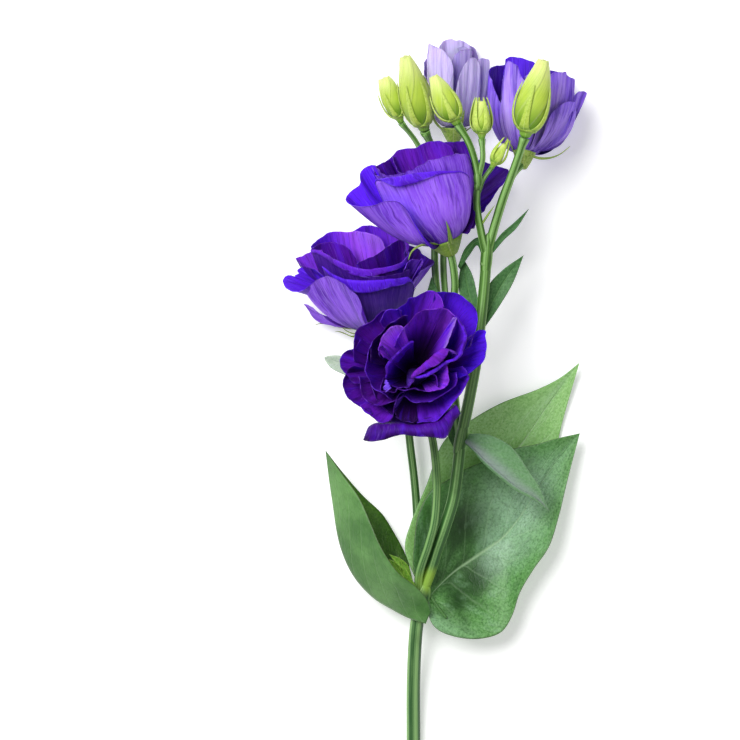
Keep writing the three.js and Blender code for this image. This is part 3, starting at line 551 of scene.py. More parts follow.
# thick is how many of the first stalks have strong ridges
stalkShape = {"thick": 3, "ridge": 0.04, "thinRidge": 0.02, "sides": (24, 20), "step": 1.5, "footReach": 3.2,
              "headReach": 2.2, "ridgesFrom": 12, "jointRings": 15, "jointSides": 32, "jointRidge": 0.02}
stalkLook = {"low": "#3c6c3c", "high": "#548428", "light": "#98c278", "dark": "#1b4010", "from": 80, "to": 250,
             "joint": (6.6, 103, 21), "jointTone": "#9cc444"}

# swellings where stalks join: place, direction, radius, length
joints = [
    {"at": leafNode, "along": (3, 10, 4), "radius": 3.7, "length": 6.5},
    {"at": forkPoint, "along": (4, 20, 4), "radius": 2.7, "length": 9},
    {"at": axisTop, "along": (1, 13, 2), "radius": 2.4, "length": 10},
    {"at": budFork, "along": (-1, 10, 2), "radius": 1.75, "length": 3.5},
]


def addStalk(parts, stalk, number):
    # a round stalk along a curve, wider at its foot and its head, with four faint ridges
    table = splineTable(stalk["points"])
    length = stepLengths(table).sum()
    rings = max(6, int(length / stalkShape["step"]))
    t = np.linspace(0, 1, rings + 1)
    centre = onTable(table, t)
    tangent = unit(np.gradient(centre, axis=0))
    sides = stalkShape["sides"][number > 0]
    angle = (np.arange(sides) + 0.5) / sides * fullTurn
    ridge = stalkShape["ridge" if number < stalkShape["thick"] else "thinRidge"]
    up = np.array(upwards, float)
    rows = []
    for k in range(rings + 1):
        up = unit(aside(up, tangent[k]))
        side = np.cross(tangent[k], up)
        fromFoot, fromHead = t[k] * length, (1 - t[k]) * length
        radius = stalk["radii"][0] + (stalk["radii"][1] - stalk["radii"][0]) * t[k]
        radius += (stalk["flare"][0] * math.exp(-((fromFoot / stalkShape["footReach"]) ** 2))
                   + stalk["flare"][1] * math.exp(-((fromHead / stalkShape["headReach"]) ** 2)))
        ring = radius * (1 + ridge * np.cos(4 * angle)[:, None] * min(1, fromFoot / stalkShape["ridgesFrom"]))
        rows.append(centre[k] + ring * (np.cos(angle)[:, None] * up + np.sin(angle)[:, None] * side))
    addRings(parts, np.array(rows), angle, (number * 0.37) % 1, (centre[0], centre[-1]))


def makeStem():
    parts = MeshParts()
    for number, stalk in enumerate(stalks):
        addStalk(parts, stalk, number)
    for joint in joints:
        outline = [(max(joint["radius"] * math.sin(k), 0.01), -joint["length"] * math.cos(k))
                   for k in np.linspace(0, math.pi, stalkShape["jointRings"])]
        place = placement(joint["at"], joint["along"], upwards)
        addTurned(parts, outline, place, stalkShape["jointSides"], stalkShape["jointRidge"], 4)
    piece = parts.make("stemFine", stalkSkin("stalkGreen", stalkLook))
    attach(piece, "root")
    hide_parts("stem")


makeStem()
print("stem made")


# leaves: midrib and both margins, as curves, and how far each half sags between them

# painted shade and painted highlight patches, each at (across from -1 to 1, along from 0 to 1), with their half sizes
# and strength
leafLooks = {
    "leaf": {"dark": "#1f4a02", "mid": "#4a7c14", "pale": "#6f9e3c", "shineTone": "#7fae50", "back": "#3e6c30",
     "backPale": "#649450", "vein": "#7fa868", "margin": "#4a3a34", "midrib": 0.03, "slant": 0.34, "veins": 7.0,
     "veinTone": 0.12, "net": 16.0, "relief": 0.3, "hollows": [(0.75, 0.4, 0.9, 0.5, 0.7),
     (0.6, 0.25, 0.7, 0.2, 1.0)], "shine": [(-0.5, 0.8, 0.6, 0.25, 0.5)]},
    "leafRight": {"dark": "#163f0c", "mid": "#4f8a3e", "pale": "#8cbc7c", "shineTone": "#a2caa8", "back": "#4a7a3a",
     "backPale": "#6d9f5c", "vein": "#a0c294", "margin": "#4a4238", "midrib": 0.035, "slant": 0.34, "veins": 7.0,
     "veinTone": 0.12, "net": 16.0, "relief": 0.3, "hollows": [(-0.4, 0.38, 0.5, 0.24, 1.0),
     (0.24, 0.36, 0.36, 0.17, 1.0), (0.45, 0.25, 0.4, 0.11, 1.0), (0.1, 0.2, 0.3, 0.12, 0.8),
     (-0.6, 0.12, 0.6, 0.2, 0.9)], "shine": [(0.0, 0.74, 1.0, 0.3, 0.8), (0.1, 0.5, 0.4, 0.14, 0.5),
     (0.95, 0.1, 0.3, 0.25, 0.4)]},
    "leafUpper": {"dark": "#5a9634", "mid": "#9ace7c", "pale": "#c2e4a8", "shineTone": "#aed4a4", "back": "#4a7a3a",
     "backPale": "#6d9f5c", "vein": "#c0deae", "margin": "#3a5a3c", "midrib": 0.04, "slant": 0.34, "veins": 7.0,
     "veinTone": 0.14, "net": 16.0, "relief": 0.3, "hollows": [(-0.6, 0.2, 0.4, 0.2, 0.4)],
     "shine": [(-0.3, 0.85, 0.6, 0.2, 0.5)]},
    "leafDark": {"dark": "#1d421a", "mid": "#3c7236", "pale": "#6f9e62", "back": "#44703e", "backPale": "#608a54",
     "vein": "#74a060", "margin": "#33452c", "midrib": 0.09, "slant": 0.5, "veins": 7.0, "veinTone": 0.15,
     "net": 8.0, "relief": 0.3},
    "leafGrey": {"dark": "#4e7c48", "mid": "#6c9c68", "pale": "#96ba92", "back": "#5b8652", "backPale": "#7da470",
     "vein": "#9aa0a6", "margin": "#6f8a6a", "midrib": 0.55, "slant": 0.45, "veins": 8.0, "veinTone": 0.12,
     "net": 8.0, "relief": 0.3},
    "leafPale": {"dark": "#8aa887", "mid": "#aebfab", "pale": "#d3ddd0", "back": "#a3bb9c", "backPale": "#c6d6bf",
     "vein": "#dfe8d9", "margin": "#c9d6c0", "midrib": 0.12, "slant": 0.5, "veins": 6.0, "veinTone": 0.2,
     "net": 8.0, "relief": 0.2},
    "shoot": {"dark": "#2f6014", "mid": "#5f9428", "pale": "#a2c450", "back": "#8ab44a", "backPale": "#a8cc6c",
     "vein": "#bcd97c", "margin": "#a8b850", "midrib": 0.1, "slant": 0.5, "veins": 6.0, "veinTone": 0.25,
     "net": 6.0, "relief": 0.2},
    "calyx": {"dark": "#3f6c1e", "mid": "#86a63a", "pale": "#c0d080", "back": "#8aa348", "backPale": "#aabc6a",
     "vein": "#c2d07e", "margin": "#d8d8ac", "midrib": 0.14, "slant": 0.6, "veins": 5.0, "veinTone": 0.15,
     "net": 5.0, "relief": 0.15},
    "budCalyx": {"foot": "#4c8a2a", "dark": "#7ea228", "mid": "#b0cc44", "pale": "#d8e680", "back": "#a8be48",
     "backPale": "#bcd268", "vein": "#c6dc78", "margin": "#e0e6a4", "midrib": 0.12, "slant": 0.6, "veins": 5.0,
     "veinTone": 0.12, "net": 5.0, "relief": 0.15},
}

leaves = {
    "leaf_left_large": {
        "look": "leaf", "grid": (44, 70), "belly": (-5, 4), "wave": 0.5, "slot": "leaf",
        "left": [(6.8, 90.5, 21.5), (5.3, 95.5, 24), (0.8, 100.9, 28), (-6.6, 106.9, 30.5), (-13.3, 117, 30),
         (-17.4, 126.4, 28), (-22, 136.5, 24.5), (-29.1, 146.3, 18.5), (-35.5, 155.5, 12)],
        "midrib": [(4.8, 86, 20.5), (-1.9, 88.1, 17), (-8.6, 91.5, 14), (-16, 96, 13), (-24.1, 104.9, 13),
         (-29.5, 117, 12.5), (-32.8, 136, 11.5), (-35.5, 155.5, 12)],
        "right": [(3, 96, 14), (-0.8, 104, 8), (-2, 110, 5.5), (-4.5, 116, 4), (-8.6, 123.4, 3.5),
         (-12.6, 129.6, 3.5), (-20.8, 137.5, 4.5), (-29, 147, 7.5), (-35.5, 155.5, 12)],
    },
    "leaf_right_large": {
        "look": "leafRight", "grid": (60, 80), "belly": (2, 3), "wave": 0.7, "slot": "leaf",
        "left": [(4, 98, 17), (0, 108, 17.5), (0.3, 119, 17), (2, 130, 16), (7.1, 139.5, 15), (13, 143.2, 14),
         (20, 147.6, 13), (29, 151.4, 12), (40.8, 156.3, 10), (49, 157.8, 9), (58, 160.3, 9), (67.2, 162.4, 8)],
        "midrib": [(5.5, 95.5, 16), (9, 99.5, 12), (16.5, 106.5, 8), (23, 111, 6.5), (29.5, 115.5, 5.5),
         (36, 120, 5), (42, 127, 5), (48, 136, 5), (56, 148.5, 6), (67.2, 162.4, 8)],
        "right": [(6, 95, 18), (6.6, 87.5, 20), (9.5, 83.6, 20), (17, 80.4, 18), (27, 79.6, 15.5), (35.3, 82.2, 14),
         (39.6, 88.5, 13.3), (42.8, 98, 13.5), (48.3, 107.5, 14), (54.5, 116.5, 14), (58.6, 129, 13),
         (62.3, 144, 10.5), (67.2, 162.4, 8)],
        # a narrow fold that lies on the blade beside the joint
        "more": [{"left": [(6.1, 97.4, 20), (8.7, 92.9, 20), (12.9, 87.7, 20)], "midrib": [(6.5, 97.6, 20),
         (9.1, 93.3, 20), (13.3, 88, 20)], "right": [(6.8, 97.8, 20), (9.5, 93.8, 20), (13.6, 88.4, 20)],
         "lie": 0.2}],
    },
    "leaf_right_upper": {
        "look": "leafUpper", "grid": (50, 80), "belly": (1, 0), "wave": 0.5, "slot": "leaf",
        "left": [(1, 103, 13), (-3.5, 116, 13), (-1, 126.5, 13), (5, 141, 11), (12.5, 159.5, 8), (23.7, 168, 6),
         (35.7, 174.7, 5), (51, 180.5, 4), (59.5, 184.9, 4), (67.2, 191, 5)],
        "midrib": [(3.5, 99, 12), (11, 114, 5), (19, 128, 2), (27, 139.5, 1), (43, 157, 0.5), (54.5, 174, 1.5),
         (67.2, 191, 5)],
        "right": [(6, 101, 8), (18, 107, 2), (34, 117, 0), (47, 127, 0), (56, 147.5, 0), (60, 165.5, 2),
         (67.2, 191, 5)],
    },
    "leaf_narrow_grey": {
        "look": "leafGrey", "grid": (24, 50), "belly": (-2, -1), "wave": 0.3, "slot": "leaf_grey",
        "left": [(19.5, 161.8, 31), (25, 162.5, 33), (30.1, 161.9, 33), (36.8, 158.9, 32), (41.6, 154.4, 31),
         (45.6, 148.2, 29.5), (49.7, 142.2, 27), (54.4, 131.4, 23)],
        "midrib": [(19.5, 160.2, 32), (23.6, 156.8, 35), (28, 152.2, 36), (34.7, 146.2, 35), (41.4, 141, 32),
         (48.2, 137.2, 28), (54.4, 131.4, 23)],
        "right": [(19.5, 159.5, 31), (23.6, 155.8, 34), (27.5, 151, 35), (34.2, 145, 34), (41, 139.6, 31),
         (48, 136, 27.5), (54.4, 131.4, 23)],
    },
    "leaf_hanging_small": {
        "look": "leafDark", "grid": (12, 24), "belly": (0, 0), "wave": 0.1, "slot": "leaf_dark",
        "left": [(18.2, 170, 27), (16.9, 165, 26.5), (17.1, 160.5, 26), (16, 157, 25)],
        "midrib": [(17, 170, 27.2), (15.1, 165, 27), (15.6, 160.5, 26.3), (16, 157, 25)],
        "right": [(15.8, 170, 27), (13.3, 165, 26.5), (14.1, 160.5, 26), (16, 157, 25)],
    },
    "leaf_lance_left": {
        "look": "leafDark", "grid": (16, 40), "belly": (0, 0), "wave": 0.2, "slot": "leaf_dark",
        "left": [(25.5, 205.5, 36), (19.5, 214, 32), (18, 223.5, 31), (19.5, 233.5, 30)],
        "midrib": [(26.5, 206, 36), (23, 216, 31.5), (21, 224, 30.5), (19.5, 233.5, 30)],
        "right": [(27, 208, 36), (25.5, 217, 33), (23.5, 226, 31), (19.5, 233.5, 30)],
    },
    "leaf_lance_right": {
        "look": "leafDark", "grid": (16, 40), "belly": (0, 0), "wave": 0.2, "slot": "leaf_dark",
        "left": [(27.5, 209, 37), (29.5, 221, 35), (35.5, 228, 34), (44, 234, 34)],
        "midrib": [(27, 206, 36), (31.5, 215, 33), (37, 225, 32.5), (44, 234, 34)],
        "right": [(28, 204.5, 37), (34.5, 214, 34), (40, 223.5, 33), (44, 234, 34)],
    },
    "leaf_slim_right": {
        "look": "leafDark", "grid": (12, 30), "belly": (0, 0), "wave": 0.1, "slot": "leaf_dark",
        "left": [(30, 235.5, 40), (34.5, 242, 42), (39.5, 246.5, 42.5), (46, 252.5, 43)],
        "midrib": [(30, 234.5, 39.5), (35.2, 241, 41.5), (40.3, 245.7, 42), (46, 252.5, 43)],
        "right": [(30.5, 233.5, 40), (36, 240, 42), (41, 244.8, 42.5), (46, 252.5, 43)],
    },
    "leaf_slim_left": {
        "look": "leafDark", "grid": (12, 30), "belly": (0, 0), "wave": 0.1, "slot": "leaf_dark",
        "left": [(27.3, 233.6, 38.5), (25.3, 237.9, 35.5), (22.8, 234.8, 34), (18.5, 228.5, 33)],
        "midrib": [(28.3, 234.5, 39), (25.5, 239.5, 36), (21.8, 236, 34.5), (18, 229, 33)],
        "right": [(29.2, 235.6, 38.5), (25.8, 241.1, 35.5), (20.8, 237.2, 34), (17.6, 229.6, 33)],
    },
    "bract_thread": {
        "look": "calyx", "grid": (8, 20), "belly": (0, 0), "wave": 0, "slot": "calyx",
        "left": [(26, 245, 44), (29.2, 250.3, 46), (32.4, 254, 46.5)],
        "midrib": [(26, 244.6, 44.2), (29.4, 249.9, 46.1), (32.4, 254, 46.5)],
        "right": [(26.2, 244.2, 44), (29.7, 249.5, 46), (32.4, 254, 46.5)],
    },
    "bract_pale": {
        "look": "leafPale", "grid": (14, 30), "belly": (0, 0), "wave": 0.2, "slot": "leaf_pale",
        "left": [(1.5, 178, 34), (-8, 180, 38), (-18, 182, 40), (-27.7, 186, 39.5), (-33.2, 188.8, 39),
         (-35.7, 192, 38)],
        "midrib": [(1.5, 179.5, 35), (-8, 182.5, 37), (-18, 186, 39), (-28, 190.3, 38.3), (-35.8, 192.6, 38)],
        "right": [(1.5, 181, 35.5), (-8, 185.5, 38), (-18, 190.5, 40), (-28, 193.6, 39), (-33.5, 193.8, 38.5),
         (-35.9, 193.2, 38)],
    },
    "leaf_behind_blooms": {
        "look": "leafDark", "grid": (12, 30), "belly": (0, 0), "wave": 0.1, "slot": "leaf_dark",
        "left": [(15.5, 196, 25), (9, 203, 24), (4.5, 213, 22.5), (7, 225.5, 22)],
        "midrib": [(15.5, 197.5, 25), (11, 205, 23), (8, 215, 21.5), (7, 225.5, 22)],
        "right": [(15.5, 199, 25), (13, 207, 24), (11, 217, 22.5), (7, 225.5, 22)],
    },
    "shoot_left": {
        "look": "shoot", "grid": (12, 30), "belly": (0, 0), "wave": 0.2, "slot": "shoot",
        "left": [(0.6, 95.6, 19.4), (-3.5, 99, 23), (-7.5, 106, 24), (-10, 112, 24)],
        "midrib": [(1.5, 97, 18.8), (-2, 101.5, 21.5), (-6, 107.5, 22.5), (-10, 112, 24)],
        "right": [(2.4, 98.4, 19.4), (-0.5, 103.5, 23), (-4, 109, 24), (-10, 112, 24)],
        "more": [ {"left": [(-1.9, 101.8, 20.5), (-4.6, 108, 24.5), (-7, 110.2, 25), (-10, 114, 25)],
         "midrib": [(-1.1, 102.8, 20), (-3.3, 108.8, 23.8), (-6, 111, 24.2), (-10, 114, 25)],
         "right": [(-0.4, 103.4, 20.5), (-2.2, 109.2, 24.5), (-5.2, 112, 25), (-10, 114, 25)]},
         {"left": [(-3.6, 104.5, 21), (-5.6, 108.6, 24.5), (-5.8, 113, 26)], "midrib": [(-3.1, 105.6, 21),
         (-5.1, 109.2, 24), (-5.8, 113, 26)], "right": [(-2.6, 105.6, 21), (-4.4, 109.4, 24.5),
         (-5.8, 113, 26)]}, ],
    },
}


# a groove runs along the midrib of a leaf whose grid is finer across than grooveFrom
leafShape = {"thickness": 0.5, "pattern": 0.3, "groove": 0.35, "grooveWidth": 0.06, "grooveFrom": 20,
             "bladeGrid": (10, 24), "bladeThickness": 0.4, "bladeRidge": 0.7}


def leafPoints(leaf, u, v):
    left, midrib, right = [onTable(splineTable(leaf[key], even=False), v) for key in ("left", "midrib", "right")]
    out = np.abs(u)
    bow = np.sin(np.pi * v)
    margin = np.where(u[..., None] < 0, left, right)
    points = midrib * (1 - out[..., None]) + margin * out[..., None]
    points[..., 2] -= out * (1 - out) * np.where(u < 0, leaf["belly"][0], leaf["belly"][1]) * bow
    # shallow waves towards the margin
    points[..., 2] += leaf["wave"] * out ** 2 * np.sin(9 * v + 2 * u) * bow
    if leaf["grid"][0] > leafShape["grooveFrom"]:
        points[..., 2] -= leafShape["groove"] * np.exp(-((u / leafShape["grooveWidth"]) ** 2)) * bow
    return points


leafMaterials = {name: leafSkin(name + "Skin", look) for name, look in leafLooks.items()}
for name, leaf in leaves.items():
    u, v = sheetGrid(*leaf["grid"])
    parts = MeshParts()
    addSheet(parts, leafPoints(leaf, u, v), u, v, leafShape["thickness"], leafShape["pattern"])
    for blade in leaf.get("more", []):
        u, v = sheetGrid(*leafShape["bladeGrid"])
        points = leafPoints({**leaf, **blade}, u, v)
        if "lie" in blade:
            surface = parts.tree()
            for point, ridge in zip(points.reshape(-1, 3), (1 - u ** 2).ravel()):
                height = heightOn(surface, point)
                point[2] = (point[2] if height is None else height) + blade["lie"] + leafShape["bladeRidge"] * ridge
        addSheet(parts, points, u, v, leafShape["bladeThickness"], leafShape["pattern"])
    piece = parts.make(name + "_fine", leafMaterials[leaf["look"]])
    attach(piece, "root")
    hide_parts(name)
print("leaves made")


# blooms

petalLooks = {
    "violet": {"throat": "#190234", "inside": "#4e16a0", "warm": "#7c24cc", "rim": "#4a1cc0", "bright": "#6428f8",
     "vivid": "#ac58ff", "outsideLow": "#45189a", "outside": "#8a50ee", "outsideTop": "#5c2cbe", "line": "#a46cfc",
     "shade": "#2c0672", "light": "#c09cff", "lines": 0.36, "paintedFoldShading": 0.4, "margin": 0.3, "edge": 0.2,
     "sheen": 0.015, "glow": 0.1, "relief": 0.4},
    "deep": {"throat": "#190329", "inside": "#5c16b2", "warm": "#8426cc", "rim": "#4616c4", "bright": "#5a22f4",
     "vivid": "#a244ff", "outsideLow": "#1c0640", "outside": "#4416a2", "outsideTop": "#4416aa", "line": "#7a48d8",
     "shade": "#26094f", "light": "#b080f4", "lines": 0.4, "paintedFoldShading": 0.4, "margin": 0.2, "edge": 0.6,
     "sheen": 0.03, "glow": 0.08, "relief": 0.4},
    "lavender": {"throat": "#5f5390", "inside": "#b0a4dc", "warm": "#ccc0ec", "rim": "#c8bcf2", "bright": "#d2c8fa",
     "vivid": "#dcd0fa", "outsideLow": "#665880", "outside": "#b2a2e0", "outsideTop": "#c4b6f2", "line": "#d4c8fa",
     "shade": "#7868b4", "light": "#e6ddff", "lines": 0.4, "paintedFoldShading": 0.5, "margin": 0.3, "edge": 0.1,
     "sheen": 0.04, "glow": 0.25, "relief": 0.35},
    "mid": {"throat": "#1e0858", "inside": "#3c149a", "warm": "#5c2cc4", "rim": "#5426cc", "bright": "#5a2ae8",
     "vivid": "#8a54f0", "outsideLow": "#7a50d0", "outside": "#9468f8", "outsideTop": "#7c4ef2", "line": "#bea0fe",
     "shade": "#34128e", "light": "#cdb8fe", "lines": 0.3, "paintedFoldShading": 0.55, "margin": 0.3, "edge": 0.1,
     "sheen": 0.02, "glow": 0.1, "relief": 0.4},
}

# A bloom's petals are drawn by their margins: each point of a rim is where it shows in the camera's picture and
# its height above the surface, so the picture fixes the outline. A petal that doesn't show has "at": its angle,
# half its spread, its radius and its height. Each petal's painted light and shade runs from 0, painted shade, to 1,
# painted light, and 1.5, a pale painted highlight; warm runs from blue to magenta; out is the outer face's painted
# light and shade. Several tones run from the rim's first point to its last.
petalUsual = {"lip": 0.5, "wave": 0.8, "cup": 1.0, "roll": 45, "curl": 1, "tuck": 0, "ragged": 0.15,
              "lipEnds": 0.5, "warm": 0.4}
petalShape = {"across": 44, "along": 34, "thickness": 0.26, "longLip": 3, "lipFrom": (0.86, 0.76), "seedStep": 2.399,
              "patternStep": 0.61803, "rollSteps": 60}

frontBloom = {"look": "deep", "slot": "petal_violet", "foot": (3, 7.3), "petals": [
    # outer petals, clockwise from the upper right
    {"rim": [(434, 298, 66), (435, 293.5, 66), (442, 291.5, 66), (451, 293, 65.7), (459, 296.5, 65.3),
     (467, 302, 65), (473, 307.5, 64.7), (476.5, 315, 64.3), (477, 323, 64), (475, 332, 64), (470, 341, 64.5),
     (465, 350, 65)], "lip": 0.6, "roll": 40, "wave": 0.6, "cup": 0.7, "lift": 0.86, "warm": 0.0},
    {"rim": [(470, 347, 66), (473, 335, 64), (475.5, 332, 63), (480, 330.5, 61.5), (485, 332, 61), (484, 337, 61.5),
     (486.5, 345, 61), (485.5, 353, 61), (482, 361, 61.5), (475, 368, 62.5), (467, 374, 63.5), (459, 378, 64)],
     "lip": 0.6, "roll": 60, "wave": 0.5, "cup": 0.6, "tuck": 1, "lift": 1.0, "warm": 0.0},
    {"rim": [(462, 366, 67), (467.6, 374.8, 64.5), (469.5, 378, 64), (466.6, 385, 64), (458.5, 395, 64.5),
     (450, 404.5, 65), (443, 413, 66), (437, 419.5, 66.5), (429, 422.5, 67), (417, 423, 67)], "roll": 60,
     "wave": 0.6, "cup": 0.75, "lift": 0.8, "warm": 0.45},
    {"rim": [(456.5, 405.5, 62.5), (449, 412, 64.5), (441, 419.5, 66), (430, 423, 66.5), (416.6, 425, 66.5),
     (400, 425, 66), (386, 424.5, 65), (377, 425, 64), (371, 425.8, 63), (367.8, 428, 62), (367, 431, 61.3)],
     "lip": [4.5, 6.6, 8.4, 6, 5, 5.4, 6.4, 7.2, 7, 4.4], "roll": 110, "wave": 0.3, "cup": 0.8, "lipEnds": 0,
     "warm": (0.0, 0.0, 0.3), "lift": (0.36, 0.24, 0.14), "lean": (410, 318, 64)},
    {"rim": [(418, 421, 66.9), (410, 421.8, 67.2), (402, 420.5, 67.2), (396, 414, 67.2), (394, 405, 67)],
     "lip": 0.4, "wave": 0.3, "cup": 0.75, "lift": 0.0},
    {"rim": [(406, 391, 66), (398.5, 395, 66.5), (395, 405, 66.5), (392, 418, 65.5), (386, 421, 64.5),
     (378, 421.5, 64), (370, 415, 63.5), (364, 411, 63), (360.5, 405, 64)], "wave": 0.6, "cup": 0.7, "tuck": 1,
     "lift": 0.5},
    {"rim": [(372, 414, 64), (362, 406, 62), (354, 401.5, 61), (347, 396, 60.5), (344, 388, 60.5), (344.5, 379, 61),
     (348, 372, 61.5), (354, 366, 64)], "lip": 0.6, "wave": 0.5, "cup": 0.7, "lift": (0.4, 0.3, 0.14), "warm": 0.2},
    {"rim": [(356, 384, 66), (346, 374, 61.5), (341.5, 367, 60.5), (340.5, 360, 60), (343.5, 355.5, 60),
     (349, 351, 61), (355, 348.5, 63), (361, 338, 66)], "wave": 0.5, "cup": 0.65, "tuck": 1,
     "lift": (0.2, 0.45, 0.4), "warm": (0.5, 0.1, 0.1)},
    {"rim": [(354, 362, 66), (353.5, 350, 64), (355, 340, 63.5), (358.5, 331, 63.5), (365, 326, 63.5),
     (371, 321.5, 63.5), (378, 314.5, 63.7), (386, 310, 64), (395, 309.5, 65), (402, 312, 67)], "wave": 0.9,
     "cup": 0.7, "lift": (0.3, 0.4, 0.7), "warm": (0.3, 0.4, 0.3)},
    {"rim": [(380, 322, 68), (388, 313, 67), (397, 309, 66.5), (400.5, 305.5, 66.5), (406.5, 303, 66),
     (408.5, 298.5, 66), (415.5, 296, 65.5), (424.5, 293.5, 66), (434, 294, 67), (441, 299, 68), (444, 306, 68.5)],
     "wave": 1.3, "cup": 0.72, "tuck": 1, "lift": (0.6, 0.85, 0.74, 0.7), "warm": (0.3, 0.1, 0.6, 0.8)},
    # middle petals
    {"rim": [(394, 346, 70), (399.5, 334, 70.5), (404.5, 327, 71), (409, 322.5, 71.3), (415.5, 316, 71.6),
     (422, 312.5, 72), (429, 309.8, 72.3), (439, 308.6, 72.5), (446.5, 309.2, 72.6), (452.5, 312.7, 72.6),
     (456.5, 317, 72.5)], "roll": 40, "wave": 0.6, "cup": 0.85, "lift": (0.95, 0.9, 0.6, 0.9, 1.0), "warm": 0.85},
    {"rim": [(455, 316, 72.8), (460, 323.5, 72.8), (462.3, 333, 72.6), (462, 343, 72.4), (459, 353, 72.4),
     (455.5, 357.3, 72.5), (445.5, 362, 73), (434, 369.5, 73.3), (424.5, 374, 73.5), (413, 375.5, 73)], "lip": 1.7,
     "roll": 130, "wave": 0.4, "cup": 0.95, "tuck": 0.5, "lift": 0.7, "warm": 0.3, "lean": (426, 340, 70)},
    {"rim": [(445.7, 347.5, 73.4), (448.3, 341, 73.7), (452, 331, 73.9), (455, 323, 73.8), (456.4, 318.4, 73.4),
     (453, 317.6, 73.2)], "wave": 0.2, "cup": 0.2, "lift": 1.5, "warm": 0.6, "out": 0.1},
    {"rim": [(453, 353.5, 73), (447.5, 349.5, 73.9), (442, 348.8, 74.2), (435, 353.5, 74.3), (427, 360.5, 74.3),
     (418.5, 368.5, 74), (411, 374.5, 73)], "lip": [2.2, 3.4, 4.4, 4, 3, 1.6], "roll": 95, "curl": 0.35,
     "wave": 0.3, "cup": 0.9, "tuck": -1.0, "lipEnds": 0, "lift": 0.4, "warm": 0.9, "out": 0.8, "turned": True,
     "lean": (412, 345, 70)},
    {"rim": [(443, 361, 70.5), (446, 366, 71), (447.5, 374, 71.2), (448.3, 383, 71), (447, 386.3, 71),
     (440, 388.5, 71), (432, 390.5, 71), (426, 391, 70.5)], "lip": 0.4, "wave": 0.5, "cup": -0.2, "lift": 0.82,
     "warm": 0.85},
    {"rim": [(430, 391, 70), (420, 390, 70.6), (414, 389.2, 71), (406, 390, 71), (401, 389.6, 71), (397.5, 388, 71),
     (395.5, 391.7, 71), (388, 391.3, 70.8), (381, 390.5, 70.5), (381, 384, 70.6), (383, 377, 71)], "lip": 0.4,
     "wave": 0.5, "cup": 0.92, "ragged": 0.35, "lift": 0.36, "warm": 0.5},
    {"rim": [(391, 388.5, 72.6), (389.5, 385, 72.9), (387.5, 382, 73), (386.5, 379.5, 72.8)],
     "lip": [3.2, 2.8, 1.8, 0.5], "roll": 95, "curl": 0.25, "lipEnds": 0, "wave": 0.2, "cup": 0.9, "lift": 1.2,
     "warm": 0.2},
    {"rim": [(456, 372, 67.5), (456, 381, 68), (449, 391, 68.5), (440, 397, 68.5), (428, 401, 68.5), (415, 401, 68),
     (404, 397, 67.5)], "lip": 0.6, "wave": 0.7, "cup": 0.85, "lift": 0.6, "warm": 0.2},
    {"rim": [(392, 400, 67.5), (381, 393, 68), (373.5, 387, 68.3), (369, 378, 68.8), (366.5, 366, 69.3),
     (368, 352, 69.8), (373, 341, 70)], "lip": 0.6, "wave": 0.7, "cup": 0.88, "lift": 0.55, "warm": 0.3},
    {"rim": [(371, 362, 68.5), (372, 348, 69), (378, 336, 69.5), (386, 327, 70), (396, 320.5, 70.3),
     (408, 317, 70)], "lip": 0.6, "wave": 0.9, "cup": 0.88, "tuck": 0.6, "lift": 0.12, "warm": 0.5},
    {"rim": [(404, 395, 66), (390, 403, 66), (376, 405, 65.5), (367, 398, 66), (361, 388, 66), (358.5, 376, 66)],
     "lip": 0.7, "wave": 0.9, "cup": 0.8, "tuck": 0.6, "lift": 0.3, "warm": 0.6},
    {"at": (160, 75, 19.5, 18), "wave": 0.5, "cup": 0.8, "lift": 0.2},
    # inner folds round a dark hollow
    {"rim": [(384, 358, 71), (380, 350, 71.5), (381, 341, 71.8), (385.5, 333, 72.2), (392, 328, 72.4),
     (399, 326.5, 72.4), (405, 328, 72)], "wave": 0.4, "cup": -0.4, "lift": (0.8, 1.15, 1.15), "warm": 1.0,
     "lean": (404, 352, 66)},
    {"rim": [(379.5, 356, 72), (379, 349, 72.3), (382.5, 346, 72.5), (386, 350, 72.4), (388.5, 356, 72)],
     "wave": 0.2, "lift": 0.45, "warm": 0.2},
    {"rim": [(386, 378, 71.5), (388, 369, 72.3), (392.5, 360.5, 73), (400, 352.3, 73.3), (407, 346, 73.3),
     (414, 342.5, 73)], "lip": 1.3, "roll": 120, "wave": 0.4, "foot": (1.5, 8), "lift": 0.7, "warm": 0.3},
    {"rim": [(388, 383, 70.5), (397, 387.5, 71), (407, 387, 71.2), (413, 382, 71.6), (415.5, 376.5, 71.8)],
     "wave": 0.6, "lift": 0.3, "warm": 0.3},
    {"rim": [(409, 388, 71.3), (414, 377, 72.2), (421, 373.5, 72.4), (431, 373, 72.2), (438, 378, 71.8),
     (437, 386, 71.2)], "lip": 0.6, "lift": 0.5, "warm": 0.7, "lean": (424, 382, 66)},
]}

